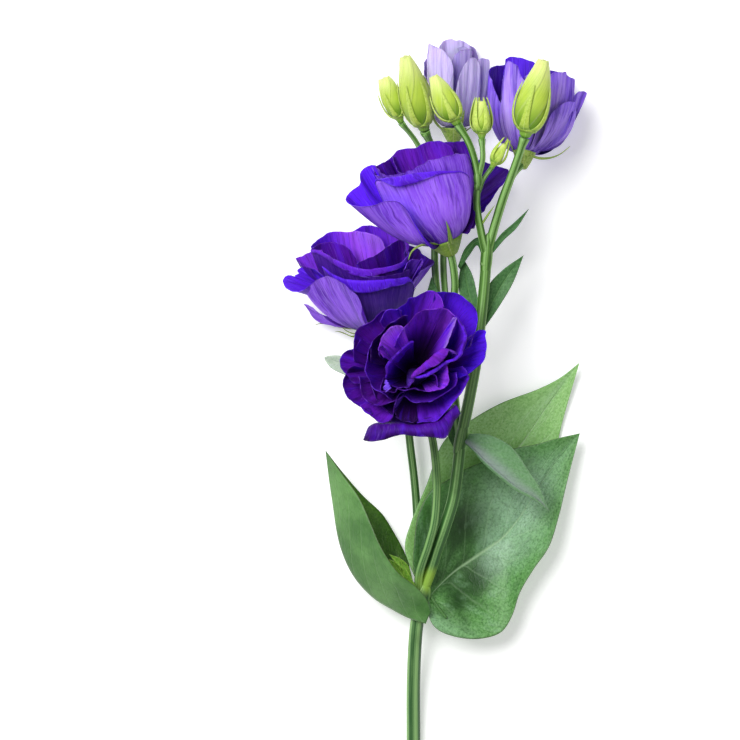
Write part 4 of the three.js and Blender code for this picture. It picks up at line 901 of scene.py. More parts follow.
leftBloom = {"look": "violet", "slot": "petal_violet", "foot": (3, 7.3), "petals": [
    # the back, seen from inside
    {"rim": [(404, 262, 16), (410, 250, 10), (404, 241, 7), (396, 233, 5), (388, 229.5, 4.5), (380, 228.3, 4),
     (371, 226.5, 4), (363, 226.7, 4.5), (358.5, 229.5, 5), (352, 233, 7)], "lip": 0.6, "wave": 0.6, "cup": 0.8,
     "lift": (0.8, 0.8, 0.6), "warm": (0.9, 0.7, 0.3)},
    {"rim": [(387, 252, 14), (384.4, 247.5, 12.5), (382, 241.8, 11.5), (376, 236.8, 10), (366, 233.8, 9),
     (357, 232.3, 8.3), (347, 232.6, 8), (337, 232.4, 8), (330.5, 233.4, 8.5), (326.5, 235.6, 9.5),
     (318.5, 240.6, 13), (311, 247, 18)], "wave": 0.4, "cup": 0.9, "lift": (1.1, 1.15, 1.1, 0.8, 0.7, 0.6),
     "warm": (1.0, 1.0, 1.0, 0.6, 0.3, 0.2)},
    {"rim": [(360, 266, 14), (354.5, 257, 12.5), (349, 249.5, 12), (341, 245, 12), (332, 243.4, 12),
     (324, 243.8, 13.5), (316.5, 246, 16), (311, 249.5, 20)], "wave": 0.5, "cup": 0.9, "lift": 0.34, "warm": 0.7},
    # the left side: flared, with a pointed corner and a lobed lip
    {"rim": [(322, 250, 14), (309, 253.8, 16), (302.8, 257, 17), (295.8, 259.3, 18), (299.7, 262.4, 20),
     (302.8, 266.6, 22), (310, 268, 24)], "wave": 0.3, "cup": 0.5, "lift": (0.85, 0.75, 0.5), "warm": 0.7,
     "out": 0.0},
    {"rim": [(316, 270, 22), (307, 267.5, 21), (299.3, 269.5, 21), (300.5, 274, 22), (297, 275.4, 22.5),
     (295, 278.5, 23), (291.5, 275.8, 23), (288, 275.8, 24), (285.4, 278, 25), (284.5, 281, 26.5),
     (288.5, 287.6, 29), (294.5, 291, 31), (300.7, 291, 33), (305, 289, 34.5), (309, 286.5, 35.5), (314, 283, 36)],
     "lip": 0.8, "roll": 60, "wave": 0.2, "cup": -0.3, "lift": 0.85, "warm": 0.0, "out": 0.35},
    {"rim": [(304.5, 291, 30), (308, 288.5, 34), (314, 283.5, 37), (318, 279.8, 39), (323.5, 278, 41),
     (329, 277.3, 43), (335, 279, 45), (344, 284, 47), (350, 290, 47.5), (357.5, 296.5, 47.5), (362, 306.8, 45),
     (361, 314, 41)], "roll": 40, "wave": 0.2, "cup": 0.6, "foot": (4.2, 6.6), "lift": 0.5,
     "out": (0.6, 0.7, 0.75)},
    # the front: an outer petal with a broad rolled lip, and two behind it
    {"rim": [(322.5, 266, 38), (327.6, 270.6, 40), (333.8, 274.8, 42), (342, 278, 43.5), (352.4, 280.4, 44.5),
     (366, 281, 45), (379.2, 280.5, 44.3), (391.6, 279.5, 43), (402, 278, 41), (407, 277.6, 39.5), (411, 280, 37),
     (413, 286, 33), (412.5, 295, 28)], "lip": [0.8, 2.4, 4.2, 5.8, 6.2, 5.2, 3.8, 1.5, 0.6, 0.4], "roll": 168,
     "curl": 0.3, "wave": 0.3, "cup": (0.8, 0.6), "lipEnds": 0, "lift": 0.84, "warm": 0.0, "out": 0.04},
    {"rim": [(340, 268, 38), (352, 272.5, 40.5), (366, 276, 41.5), (377, 277, 41.5), (391.6, 275.6, 40),
     (402, 273, 38), (410.5, 269.5, 35)], "lip": 0.4, "wave": 0.3, "cup": 0.68, "tuck": 0.5, "lift": 0.1,
     "out": 0.0},
    {"rim": [(311, 249.8, 24), (313, 250, 25.5), (319.3, 251, 29), (329.7, 256.6, 33.5), (342, 262.6, 38),
     (352.4, 266.8, 40.5), (366, 269.7, 41.5), (379.2, 268.8, 40.5), (391.6, 266.2, 38), (401, 263, 34),
     (406, 258, 29), (408, 252, 25)], "lip": [1.5, 2.2, 2.6, 3, 4, 4.2, 3.2, 2.6, 1.6, 1], "roll": 165, "curl": 0.3,
     "wave": 0.3, "cup": 0.75, "lipEnds": 0, "lift": 0.6, "warm": 0.5, "out": 0.0},
    # the right side: a pointed corner in shade, and a lit fold
    {"rim": [(409.5, 291, 33), (412, 284, 34), (415, 278, 34), (419.5, 272.8, 33), (426, 267.5, 30.5),
     (434, 262.5, 27), (428, 258.8, 24), (421.6, 254.8, 21), (418, 249.5, 18), (410, 246, 15)], "lip": 0.4,
     "wave": 0.2, "cup": 0.1, "lift": 0.1, "out": 0.4},
    {"rim": [(404, 270, 37), (409, 261.5, 33.5), (413, 259.8, 32.5), (419, 260.5, 31.5), (422, 259, 31),
     (422, 264, 33), (418, 268.3, 35.5)], "lip": 0.4, "wave": 0.2, "cup": 0.1, "lift": 1.0, "warm": 0.5,
     "out": 0.2},
    {"rim": [(355.5, 265, 33), (366.8, 259.3, 29), (377.2, 255.2, 26), (386.5, 248, 22), (394.7, 242.8, 18),
     (401, 240, 16), (405, 244, 18), (404, 254, 24)], "lip": 0.4, "wave": 0.3, "cup": 0.9, "tuck": 0.3, "lift": 0.3,
     "warm": 0.5, "out": 0.2},
    # the small pale petal low on the left
    {"rim": [(336, 327, 7), (329.7, 324.6, 8), (319.3, 322.3, 8.5), (314.2, 318.2, 9.5), (309, 311, 11.5),
     (305, 304, 14), (312, 307.5, 17), (319.3, 313.5, 20), (323.5, 317, 22)], "lip": 0.3, "wave": 0.2, "cup": 0.5,
     "lift": 1.3, "warm": 0.7, "out": 1.0},
    {"at": (30, 55, 9, 28), "lip": 0.6},
    {"at": (150, 55, 8, 27), "lip": 0.6},
    {"at": (265, 55, 8, 27), "lip": 0.6},
    {"at": (90, 60, 4.5, 24)},
    {"at": (240, 60, 4.5, 24)},
]}

topBloom = {"look": "violet", "slot": "petal_violet", "foot": (3, 5.2), "petals": [
    # the back, seen from inside
    {"rim": [(476, 180, 40), (474, 165, 34), (472.8, 154, 30), (470.6, 146.6, 28), (466, 142.3, 27),
     (458.3, 142.5, 26), (447, 143, 26), (440, 144, 27)], "wave": 0.5, "cup": 0.9, "lift": 0.36, "warm": 0.2},
    {"rim": [(455, 160, 36), (452.2, 151.7, 31), (450.5, 147.3, 28.5), (440.4, 142.4, 27), (429.3, 142.8, 27),
     (420.4, 145.5, 27.5), (415.9, 148.7, 28.5), (407, 149.4, 29.5), (398, 152.2, 31), (394, 156, 32),
     (390, 160, 33.5), (384, 164, 36), (378, 166.5, 39)], "wave": 0.9, "cup": 0.9, "tuck": 0.5, "lift": 0.5,
     "warm": 0.5},
    # the left side: its inside shows beyond the rim, its outside below
    {"rim": [(376, 166, 36), (372.4, 165.7, 36.5), (364.6, 169.8, 37.5), (361.2, 176.3, 38.5), (361.8, 184, 39.5),
     (360, 186.7, 39.5), (353.4, 191, 39.5), (347, 198.6, 40), (348.4, 202.5, 42.5), (354.5, 206, 46),
     (366.8, 207.3, 52), (376.8, 205.3, 56.5), (386.9, 202.3, 59.5), (395.8, 201.8, 61.5), (400.3, 203.5, 62),
     (407, 210, 62), (411.4, 217.6, 61), (415.9, 226.5, 59), (423, 235, 55)], "lip": 0.8, "roll": 50, "wave": 0.2,
     "by": (17, 2.4), "foot": (3.4, 4.4), "lift": 1.0, "warm": 0.0, "out": 0.62, "cup": 1},
    # the front: an outer petal with a broad rolled lip, and the folds behind it
    {"rim": [(374.6, 183, 46), (376.8, 179.8, 50), (384, 178.6, 55), (393.6, 177.6, 59), (402.5, 176.4, 61.5),
     (418, 173.6, 64), (434.9, 171.8, 65.5), (451.6, 171.3, 65), (462, 171.8, 63), (468, 175.5, 59.5),
     (468, 184, 54), (466, 200, 51), (464.5, 216, 49), (463.5, 228, 47)],
     "lip": [0.4, 1.2, 5, 4.2, 2, 1, 0.6, 0.5, 0.4, 0.4], "roll": 165, "curl": 0.35, "wave": 0.3,
     "cup": (1.15, 0.4), "foot": (4.6, 3.4), "lipEnds": 0, "lift": 0.78, "warm": 0.0, "out": 0.62},
    {"rim": [(398, 178, 56), (402.5, 175, 58), (412.5, 169.8, 59.5), (421.5, 166, 60.5), (427, 162, 61),
     (434.9, 160.2, 61), (444.9, 157.4, 60), (450.5, 156.2, 58.5), (463.3, 155, 55), (468, 158, 52),
     (470, 168, 49)], "roll": 60, "wave": 0.4, "cup": 0.95, "tuck": 0.4, "ragged": 0.4, "lift": 0.3, "out": 0.5},
    {"rim": [(372.4, 167.5, 42), (376.8, 176.3, 47), (382, 177.5, 50), (391, 176.5, 54), (402, 175, 57)],
     "lip": 0.8, "wave": 0.3, "cup": 0.8, "tuck": 0.4, "lift": 0.6, "out": 0.4, "warm": 0.1},
    {"rim": [(412, 174, 54), (404, 174, 50), (398, 171.5, 46), (395.5, 166, 42), (393.4, 158, 37),
     (396, 157.5, 34)], "wave": 0.4, "cup": 0.9, "tuck": 0.3, "lift": 0.4, "out": 0.5},
    {"rim": [(394, 177, 53), (385, 176, 50), (379, 170, 44), (378, 166.5, 40), (384.6, 162.6, 38),
     (390, 160, 35.5)], "lip": 0.4, "wave": 0.5, "cup": 0.9, "lift": 0.25, "out": 0.4},
    # the right side, seen edge on
    {"rim": [(468, 156, 50), (472.5, 166, 49), (474.5, 182, 48), (475.2, 197, 47.5), (474.8, 212, 47),
     (473, 224, 46), (467, 234, 44)], "lip": 0.4, "wave": 0.2, "cup": 0.5, "tuck": 0.3, "lift": 0.1, "out": 0.0},
    {"rim": [(471, 150, 40), (475, 158, 42), (476.6, 170, 44), (477.6, 186, 45), (477.6, 204, 45), (476.6, 218, 45),
     (474, 229, 44)], "wave": 0.3, "cup": 0.5, "lift": 0.2, "out": 0.75},
    # the flared one behind, to the right
    {"rim": [(479, 160, 30), (486, 163, 26), (496, 166, 22), (503, 168.2, 19.5), (507.6, 170, 18), (508, 173, 17.5),
     (502, 183.5, 19), (495.5, 193, 22), (489, 203, 26), (483.5, 212, 30)], "lip": 0.4, "wave": 0.3, "cup": -0.5,
     "lift": 0.45, "warm": 0.0, "turned": True},
    {"at": (20, 55, 12, 32), "lip": 0.6},
    {"at": (140, 55, 11, 32), "lip": 0.6},
    {"at": (260, 55, 11, 32), "lip": 0.6},
    {"at": (70, 60, 6, 29)},
    {"at": (190, 60, 6, 29)},
    {"at": (310, 60, 6, 29)},
]}

lavenderBloom = {"look": "lavender", "slot": "petal_lavender", "foot": (3, 7.3), "petals": [
    {"rim": [(480, 74, 4), (478.3, 59, 4), (476.9, 55.8, 4), (474.7, 50, 4), (471.2, 47.2, 4), (464, 44, 4.5),
     (455, 43, 5), (447, 44, 5), (441, 48, 6), (435, 56, 8)], "lip": 0.4, "wave": 0.3, "lift": 0.2, "out": 0.2},
    {"rim": [(436, 58, 6), (431, 60, 8), (427, 59.5, 10), (424, 65, 12), (425, 75, 15), (428, 86, 18)], "lip": 0.4,
     "wave": 0.4, "tuck": 0.4, "lift": 0.2, "out": 0.1},
    {"rim": [(470.5, 56, 8), (470.4, 48, 8), (465.4, 43, 8), (460.4, 41, 9), (456, 41.4, 9.3), (452.5, 40, 9.5),
     (446, 41, 10), (441.7, 44, 12), (439, 50, 13), (437, 60, 14)], "lip": 0.4, "wave": 0.3, "tuck": 0.4,
     "lift": 0.7},
    {"rim": [(427, 80, 18), (428, 62, 20), (429, 50, 21.5), (429.5, 45, 22), (433, 47, 24), (440, 50, 26.5),
     (447, 56, 28), (452, 65, 29), (453, 75, 29), (449, 86, 28)], "lip": 0.8, "wave": 0.4, "out": 0.66},
    {"rim": [(456, 92, 27.5), (458.5, 80, 27.5), (463, 69, 27), (467.6, 61.5, 26), (471.9, 58.2, 25),
     (472.4, 58.2, 25), (476.2, 60, 23), (479, 66, 22), (481, 76, 20)], "lip": 0.3, "wave": 0.5, "cup": 1.15,
     "out": 0.6},
    {"rim": [(476, 84, 22), (478, 72, 21.5), (478, 60.5, 20), (478.3, 59.8, 20), (484, 59, 19), (488.6, 60.8, 18),
     (488.8, 61.3, 18), (488, 68, 15), (487.5, 78, 11), (488.5, 92, 8)], "lip": 0.3, "wave": 0.3, "cup": 1.1,
     "out": 0.4},
    {"rim": [(470, 58, 6), (480, 61, 5), (486.5, 66, 5), (488.5, 76, 6), (488.5, 88, 8)], "lip": 0.4, "wave": 0.5,
     "cup": 1.2, "lift": 0.2, "out": 0.2},
    {"at": (40, 60, 7, 38), "lip": 0.8, "cup": 1.1},
    {"at": (160, 60, 7, 38.5), "lip": 0.8, "cup": 1.1},
    {"at": (280, 60, 7, 38), "lip": 0.8, "cup": 1.1},
    {"at": (100, 70, 4, 34), "lip": 0.6, "cup": 1.1},
    {"at": (270, 70, 4, 34), "lip": 0.6, "cup": 1.1},
]}

rightBloom = {"look": "mid", "slot": "petal_mid", "foot": (3, 4.6), "petals": [
    # back
    {"rim": [(573, 96, 12), (569, 82, 7), (559, 74, 4.5), (546, 70, 3.5), (537, 67, 3), (526, 65, 3), (518, 66, 4)],
     "wave": 0.7, "cup": 1.2, "lift": 0.3},
    {"rim": [(536, 72, 5), (524, 66, 4), (512, 66, 5), (504, 66, 7), (496, 68, 11), (490, 72, 16)], "wave": 0.6,
     "cup": 1.2, "tuck": 0.4, "lift": 0.3},
    {"rim": [(504, 80, 17), (504.5, 68, 15), (505, 60.6, 13), (505.4, 60, 13), (510.6, 58, 12), (516, 58.2, 12),
     (522, 59.4, 12), (530, 62, 12), (535, 64.4, 12), (541, 72, 13), (544, 86, 15)], "lip": 0.6, "wave": 0.5,
     "lift": 0.85, "warm": 0.1},
    # left: the dark inside, then the outside
    {"rim": [(509, 66, 12), (503, 66.5, 14), (496, 67, 17), (490, 70, 20), (489.6, 70.6, 20), (490.5, 78, 23),
     (493, 86, 26), (497, 96, 29), (501, 104, 31)], "wave": 0.3, "cup": 1.15, "lift": 0.36, "warm": 0.0,
     "out": 0.45},
    # front
    {"rim": [(519, 90, 32), (524, 78, 31), (530, 74.5, 31), (536, 76, 31), (541, 84, 32)], "lip": 0.4, "wave": 0.5,
     "cup": 1.1, "lift": 0.6, "out": 0.5},
    {"rim": [(500, 108, 32), (502.5, 92, 33), (504.6, 76, 33), (506, 65, 33), (508, 62, 33), (512.5, 63.6, 34),
     (517.5, 66.3, 35), (518, 66.8, 35), (519.5, 73, 36), (524, 81, 37.5), (532, 88, 38.5), (541, 98, 38.5)],
     "lip": 0.4, "wave": 0.5, "cup": 1.1, "out": 0.8, "lift": 0.6},
    # right
    {"rim": [(541, 98, 38), (545, 84, 36), (551, 75, 33.5), (556, 72.4, 32.5), (562, 73.3, 31), (566.4, 71.6, 29),
     (566.7, 72, 29), (567.4, 76, 28), (574.8, 79.7, 26.5), (575, 80.2, 26.5), (572, 86, 26), (574, 92, 26.5),
     (571, 108, 29)], "lip": 0.3, "wave": 0.5, "cup": 1.2, "ragged": 0.3, "out": 0.8},
    {"rim": [(563, 112, 32), (568, 104, 30), (573, 98, 27), (578, 92.4, 23), (585.6, 92.6, 19), (585.8, 93, 19),
     (583, 101, 19.5), (579, 112, 21), (573, 124, 24)], "lip": 0.3, "wave": 0.4, "cup": 0.6, "lift": 0.6,
     "out": 0.5},
    {"rim": [(546, 124, 38), (552, 113, 37), (560, 106, 35), (568, 102, 32), (575.4, 103.6, 28), (575.6, 104.2, 28),
     (576, 114, 25), (571, 126, 24), (564, 138, 25)], "lip": 0.3, "wave": 0.4, "cup": 0.95, "tuck": 0.2,
     "out": 0.75},
    {"at": (30, 50, 12, 33), "lip": 0.6, "cup": 1.3},
    {"at": (120, 50, 11, 33), "lip": 0.6, "cup": 1.3},
    {"at": (210, 50, 11, 33), "lip": 0.6, "cup": 1.3},
    {"at": (300, 50, 12, 33), "lip": 0.6, "cup": 1.3},
    {"at": (75, 60, 6, 30), "lip": 0.6},
    {"at": (255, 60, 6, 30), "lip": 0.6},
]}

blooms = {"front": frontBloom, "left": leftBloom, "top": topBloom, "lavender": lavenderBloom, "right": rightBloom}
# what carries the petals, as an outline of (radius, height)
receptacle = [(0.01, 2.1), (1.8, 2.6), (3.3, 7), (3.2, 8.6), (1.4, 11.4), (0.01, 11.4)]
# the camera looks straight down from here; a picture point is this size at the level given
view = {"at": (-17.6, 188, 3000), "middle": 370, "pixel": 0.4, "level": 40}


def seenAt(points):
    # where points of the picture lie in the spray's own millimetres
    x, y, z = np.array(points, float).T
    across, along, up = view["at"]
    scale = view["pixel"] * (up - z) / (up - view["level"])
    return np.stack([across + (x - view["middle"]) * scale, along - (y - view["middle"]) * scale, z], 1)


def rimAround(place, angle, spread, radius, height):
    # a margin for a petal that doesn't show in the picture
    k = np.linspace(-1, 1, 7)
    turn = np.radians(angle + spread * k)
    out = radius * (1 - 0.06 * k ** 2)
    up = height - 0.22 * height * np.abs(k) ** 3
    return placed(np.stack([out * np.cos(turn), out * np.sin(turn), up], 1), place)


def petalPoints(place, rim, petal, number):
    base, axes = place
    axis = axes[2]
    u = np.linspace(-1, 1, petalShape["across"] + 1)
    k = (u + 1) / 2
    v = np.linspace(0, 1, petalShape["along"] + 1)[:, None]
    seed = number * petalShape["seedStep"]
    # the margin, as a radius and a height round the flower's axis, or round a line that leans away from it
    shift = np.zeros(3)
    if "lean" in petal:
        shift = aside(seenAt([petal["lean"]])[0] - base, axis)
    relative = onTable(splineTable(rim), k) - base - shift
    h = relative @ axis + petal["ragged"] * (np.sin(23 * u + seed) + 0.6 * np.sin(41 * u + 2 * seed)) * 0.5
    radial = aside(relative, axis)
    r = np.linalg.norm(radial, axis=1)
    direction = radial / np.maximum(r, 1e-3)[:, None]
    rimAt = (np.maximum(r, 0.6), h)
    # the lip and the cup may change along the margin
    lip, cup, foot = petal["lip"], petal["cup"], petal["foot"]
    if isinstance(lip, list):
        lip = onTable(splineTable(list(zip(np.linspace(-1, 1, len(lip)), lip)), even=False), k)[:, 1]
    if isinstance(cup, tuple):
        cup = cup[0] + (cup[1] - cup[0]) * k
    share = petalShape["lipFrom"][int(np.max(lip) >= petalShape["longLip"])]
    w = np.clip(v / share, 0, 1)
    # the side line from the foot to the rim, and its slope
    if "by" in petal:
        lines = list(zip(foot, petal["by"], rimAt))
        side = [(1 - w) ** 2 * a + 2 * w * (1 - w) * b + w ** 2 * c for a, b, c in lines]
        slope = [2 * (1 - w) * (b - a) + 2 * w * (c - b) for a, b, c in lines]
    else:
        sine, cosine = np.sin(np.pi * w / 2), np.cos(np.pi * w / 2)
        side = [a + (c - a) * ((1 - cup) * w + cup * f) for a, c, f in zip(foot, rimAt, (sine, 1 - cosine))]
        slope = [(c - a) * (1 - cup + cup * np.pi / 2 * f) for a, c, f in zip(foot, rimAt, (cosine, sine))]
    size = np.maximum(np.hypot(*slope), 1e-6)
    slopeR, slopeH = slope[0] / size, slope[1] / size
    # soft waves and folds across the petal
    push = petal["wave"] * w ** 3 * (0.45 * np.sin(4.5 * u + seed) + 0.3 * np.sin(10 * u + 2.2 * seed) * w ** 2)
    push = push + 1.2 * w * (1 - w) * np.sin(3 * u + 3 * w + 1.3 * seed) + 0.12 * w * np.sin(13 * u + 5 * w + seed)
    push = push + 0.06 * np.sin(31 * u + 2 * w + seed) * w - 1.2 * petal["tuck"] * np.sin(np.pi * w)
    push = push - 0.25 * np.exp(-((u / 0.15) ** 2)) * np.sin(np.pi * w)
    # the lip rolls outwards past the margin
    steps = np.linspace(0, 1, petalShape["rollSteps"])
    bend = math.radians(petal["roll"]) * np.minimum(steps / petal["curl"], 1) ** 0.8
    rolled = np.clip((v - share) / (1 - share), 0, 1)
    forward, outwards = [np.interp(rolled, steps, np.cumsum(way) / len(steps)) for way in (np.cos(bend), np.sin(bend))]
    length = lip * (1 - petal["lipEnds"] * np.abs(u) ** 4) * (1 + 0.15 * np.sin(6 * u + seed))
    radius = side[0] + slopeR * forward * length + slopeH * (outwards * length + push)
    height = side[1] + slopeH * forward * length - slopeR * (outwards * length + push)
    return base + easeIn(w)[..., None] * shift + radius[..., None] * direction[None] + height[..., None] * axis


def addPetal(parts, points, place, number, own, turned):
    # the side away from the flower's axis is the outside
    along, across = np.gradient(points, axis=0), np.gradient(points, axis=1)
    outside = np.sum(np.cross(across, along) * aside(points - place[0], place[1][2])) > 0
    if not outside:
        points = points[:, ::-1]
    u, v = sheetGrid(petalShape["across"], petalShape["along"])
    k = (u if outside else -u).ravel() * 0.5 + 0.5
    own = [np.stack([np.interp(k, np.linspace(0, 1, np.size(tone)), np.ravel(tone)) for tone in face], 1)
           for face in (own[::-1] if turned else own)]
    pattern = (number * petalShape["patternStep"]) % 1
    addSheet(parts, points, u, v, petalShape["thickness"], pattern, not turned, own)


bloomSurface = {}
petalMaterials = {name: petalSkin(name + "Petals", look) for name, look in petalLooks.items()}


def makeBloom(name):
    bloom = blooms[name]
    place = placement(**flowers[name])
    parts = MeshParts()
    for number, petal in enumerate(bloom["petals"]):
        # hidden petals get more painted shade unless they give their own
        petal = {**petalUsual, "foot": bloom["foot"], "lift": 0.25 if "at" in petal else 0.5, **petal}
        rim = seenAt(petal["rim"]) if "rim" in petal else rimAround(place, *petal["at"])
        # each face's painted light and shade, outer face first, and its warmth
        own = [(petal.get("out", petal["lift"]), petal["warm"]), (petal["lift"], petal["warm"])]
        points = petalPoints(place, rim, petal, number + 1)
        addPetal(parts, points, place, number, own, petal.get("turned", False))
    addTurned(parts, receptacle, place)
    parts.uv[-1][:, 1] = 0
    bloomSurface[name] = parts.tree()
    piece = parts.make("bloom_" + name + "_fine", petalMaterials[bloom["look"]])
    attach(piece, "root")
    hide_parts("bloom_" + name + "_petals")


for name in flowers:
    makeBloom(name)
print("blooms made")


# calyces of the blooms: a funnel-shaped cup and five narrow sepals

# sizes are for each bloom that differs: width, height, and how far down it sits. A path is the line of
# (radius, height) that hidden sepals follow up the petals, from the cup's rim
calyxLook = {
    "cup": [(0.01, 0.2), (1.6, 0.2), (2.2, 0.9), (3.0, 2.1), (3.9, 3.7), (4.7, 5.2), (5.3, 6.6), (5.1, 6.9), (4.8, 6.7),
            (4.2, 5.2), (3.1, 3.2), (0.01, 1.8)],
    "steps": 40, "sides": 60, "ribs": 0.018, "sepalGrid": (8, 34), "sepalWidth": 1.15, "sepalThickness": 0.4,
    "sizes": {"right": (0.9, 1.15, 3.0), "top": (1.4, 1.15, 3.4)},
    "cupRim": (4.6, 5.4),
    "paths": {"front": [(10.2, 7.7), (16.1, 14), (20.6, 22)], "left": [(10.7, 8.7), (16.6, 16), (20.6, 25)],
              "top": [(12.2, 7.5), (17.6, 14), (19.6, 25)], "lavender": [(8.7, 8.7), (12.6, 16), (14.1, 25)],
              "right": [(9.2, 8.7), (13.6, 15), (16.6, 23.5)]},
}
# a sepal is drawn as a petal's margin is, or given by its angle, length and how far its tip stands away
bloomSepals = {
    "front": [{"at": (10 + 72 * k, 13, 0)} for k in range(5)],
    "left": [{"line": [(372, 333, 14), (362, 334, 11), (353, 336.5, 9), (346, 334, 8), (339, 331.5, 8),
                       (334.5, 332, 8)], "width": 0.7},
             {"line": [(368, 329, 12), (352, 328.5, 8), (338, 326.5, 7), (328, 324, 6.5), (321, 323.5, 6.5),
                       (315, 325, 7)], "width": 0.7},
             {"at": (200, 12, 0)}, {"at": (300, 12, 0)},
             {"line": [(384, 331, 16), (395, 322, 15), (406, 308, 15), (411, 293, 16), (416, 288, 16)]}],
    "top": [{"line": [(451.5, 244, 44), (450, 238, 46), (448.5, 230, 49), (446, 221.5, 52)], "lie": 0.5},
            {"line": [(440, 246, 43.5), (434, 244, 45), (427, 244, 47), (418, 246.5, 49), (411.5, 252, 50),
                      (408.5, 260, 49)], "width": 0.8},
            {"at": (150, 12, 0)}, {"at": (215, 12, 0)}, {"at": (285, 13, 0)}],
    "lavender": [{"at": (20 + 72 * k, 12, 0)} for k in range(5)],
    "right": [{"line": [(530, 155, 32), (538, 158, 31), (549, 158, 29), (560, 154, 27), (570.5, 146, 26)],
               "width": 0.6},
              {"line": [(520, 156, 34), (515, 151, 37), (511, 144, 40), (507, 136, 42)], "lie": 0.4, "width": 0.55},
              {"at": (130, 12, 0)}, {"at": (200, 12, 0)}, {"at": (270, 12, 0)}],
}


def sepalCurve(place, name, angle, length, away):
    table = splineTable([calyxLook["cupRim"], *calyxLook["paths"][name]])
    t = np.linspace(0, 1, 8)
    q = onTable(table, t * min(1, length / stepLengths(table).sum()))
    return placed(np.stack([q[:, 0] + away * t ** 2, np.zeros(8), q[:, 1]], -1), place, angle)


def addSepal(parts, line, place, random, width):
    # a narrow keeled strip that ends in a point
    u, v = sheetGrid(*calyxLook["sepalGrid"])
    centre = onTable(splineTable(line), v[:, 0])
    base, axes = place
    away = unit(aside(centre - base, axes[2]))
    tangent = unit(np.gradient(centre, axis=0))
    across = unit(np.cross(tangent, away))
    up = np.cross(across, tangent)
    half = width * ((1 - v[:, 0]) ** 0.85 * (1 - 0.25 * np.exp(-v[:, 0] * 6)) + 0.09)
    keel = 0.28 * (1 - np.abs(u[0]))
    grid = centre[:, None] + (u[0][None, :] * half[:, None])[..., None] * across[:, None]
    grid = grid + (keel[None, :] * half[:, None])[..., None] * up[:, None]
    addSheet(parts, grid, u, v, calyxLook["sepalThickness"], random)


def makeCalyx(name):
    place = placement(**flowers[name])
    parts = MeshParts()
    wide, tall, down = calyxLook["sizes"].get(name, (1, 1, 0))
    outline = splineTable([(r * wide, h * tall - down) for r, h in calyxLook["cup"]], calyxLook["steps"])
    addTurned(parts, outline, place, calyxLook["sides"], calyxLook["ribs"])
    for k, sepal in enumerate(bloomSepals[name]):
        if "at" in sepal:
            line = sepalCurve(place, name, *sepal["at"])
        else:
            line = splineTable(seenAt(sepal["line"]), 12)
            if "lie" in sepal:
                for point in line:
                    height = heightOn(bloomSurface[name], point)
                    if height is not None and abs(height - point[2]) < 15:
                        point[2] = height + sepal["lie"]
                line[1:-1, 2] = (line[:-2, 2] + line[1:-1, 2] + line[2:, 2]) / 3 + 0.15
        addSepal(parts, line, place, 0.2 * k, sepal.get("width", calyxLook["sepalWidth"]))
    piece = parts.make("calyx_" + name + "_fine", leafMaterials["calyx"])
    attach(piece, "root")
    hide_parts("bloom_" + name + "_calyx")


for name in flowers:
    makeCalyx(name)
print("calyces made")


# buds: a furled corolla of five petals, in its own calyx

budLook = {"foot": "#5a8c1a", "middle": "#b4cc48", "tip": "#e0ea92", "line": "#90ae38", "edge": "#e6eeb2"}
budShape = {
    "outline": [(0.28, 0.02), (0.72, 0.1), (0.97, 0.26), (0.98, 0.42), (0.76, 0.65), (0.46, 0.87), (0.26, 1)],
    "foot": 2.2, "petals": 5, "twist": 0.34, "step": 0.09, "rows": 70, "sides": 100,
    "cupTo": 0.16, "cupSteps": 44, "cupSides": 60, "cupRibs": 0.02,
    "sepalGrid": (14, 44), "sepalFrom": 0.06, "sepalReach": 0.62, "sepalWidth": 0.52, "sepalThickness": 0.34,
    "keel": 0.3,
}


def addBudPetals(parts, bud, place, length, table):
    rows, sides, foot = budShape["rows"], budShape["sides"], budShape["foot"]
    radius, short = bud["radius"], bud.get("short", 1)
    q = onTable(table, np.linspace(0, 1, rows))
    up = q[:, 1][:, None]
    angle = np.arange(sides) / sides * fullTurn
    # each petal starts under its neighbour and ends over the next, so the outline steps in five times a turn
    turned = (angle[None, :] / fullTurn - budShape["twist"] * up) * budShape["petals"] % 1
    step = budShape["step"] * (0.35 + 0.65 * up)
    swell = 1 + step * (turned - 0.5) - step * 0.9 * np.clip((turned - 0.93) / 0.07, 0, 1)
    out = radius * q[:, 0][:, None] * swell * short ** 0.5
    height = foot + (length - foot) * short * up + 0.5 * (turned - 0.5) * up ** 6
    grid = np.stack([out * np.cos(angle), out * np.sin(angle), height], -1)
    points = np.vstack([grid.reshape(-1, 3), [[0, 0, grid[0, 0, 2]], [0, 0, grid[-1, 0, 2] - 0.8]]])
    uv = np.vstack([np.stack([turned.ravel(), np.repeat(q[:, 1], sides)], 1), [[0.5, 0], [0.5, 1]]])
    edge = np.clip((turned - 0.86) / 0.07, 0, 1) * (turned < 0.97)
    tone = np.stack([edge.ravel(), np.full(rows * sides, (radius * 0.37) % 1)], 1)
    parts.add(placed(points, place), ringFaces(rows, sides, True), uv, np.vstack([tone, [[0, 0.5], [0, 0.5]]]))


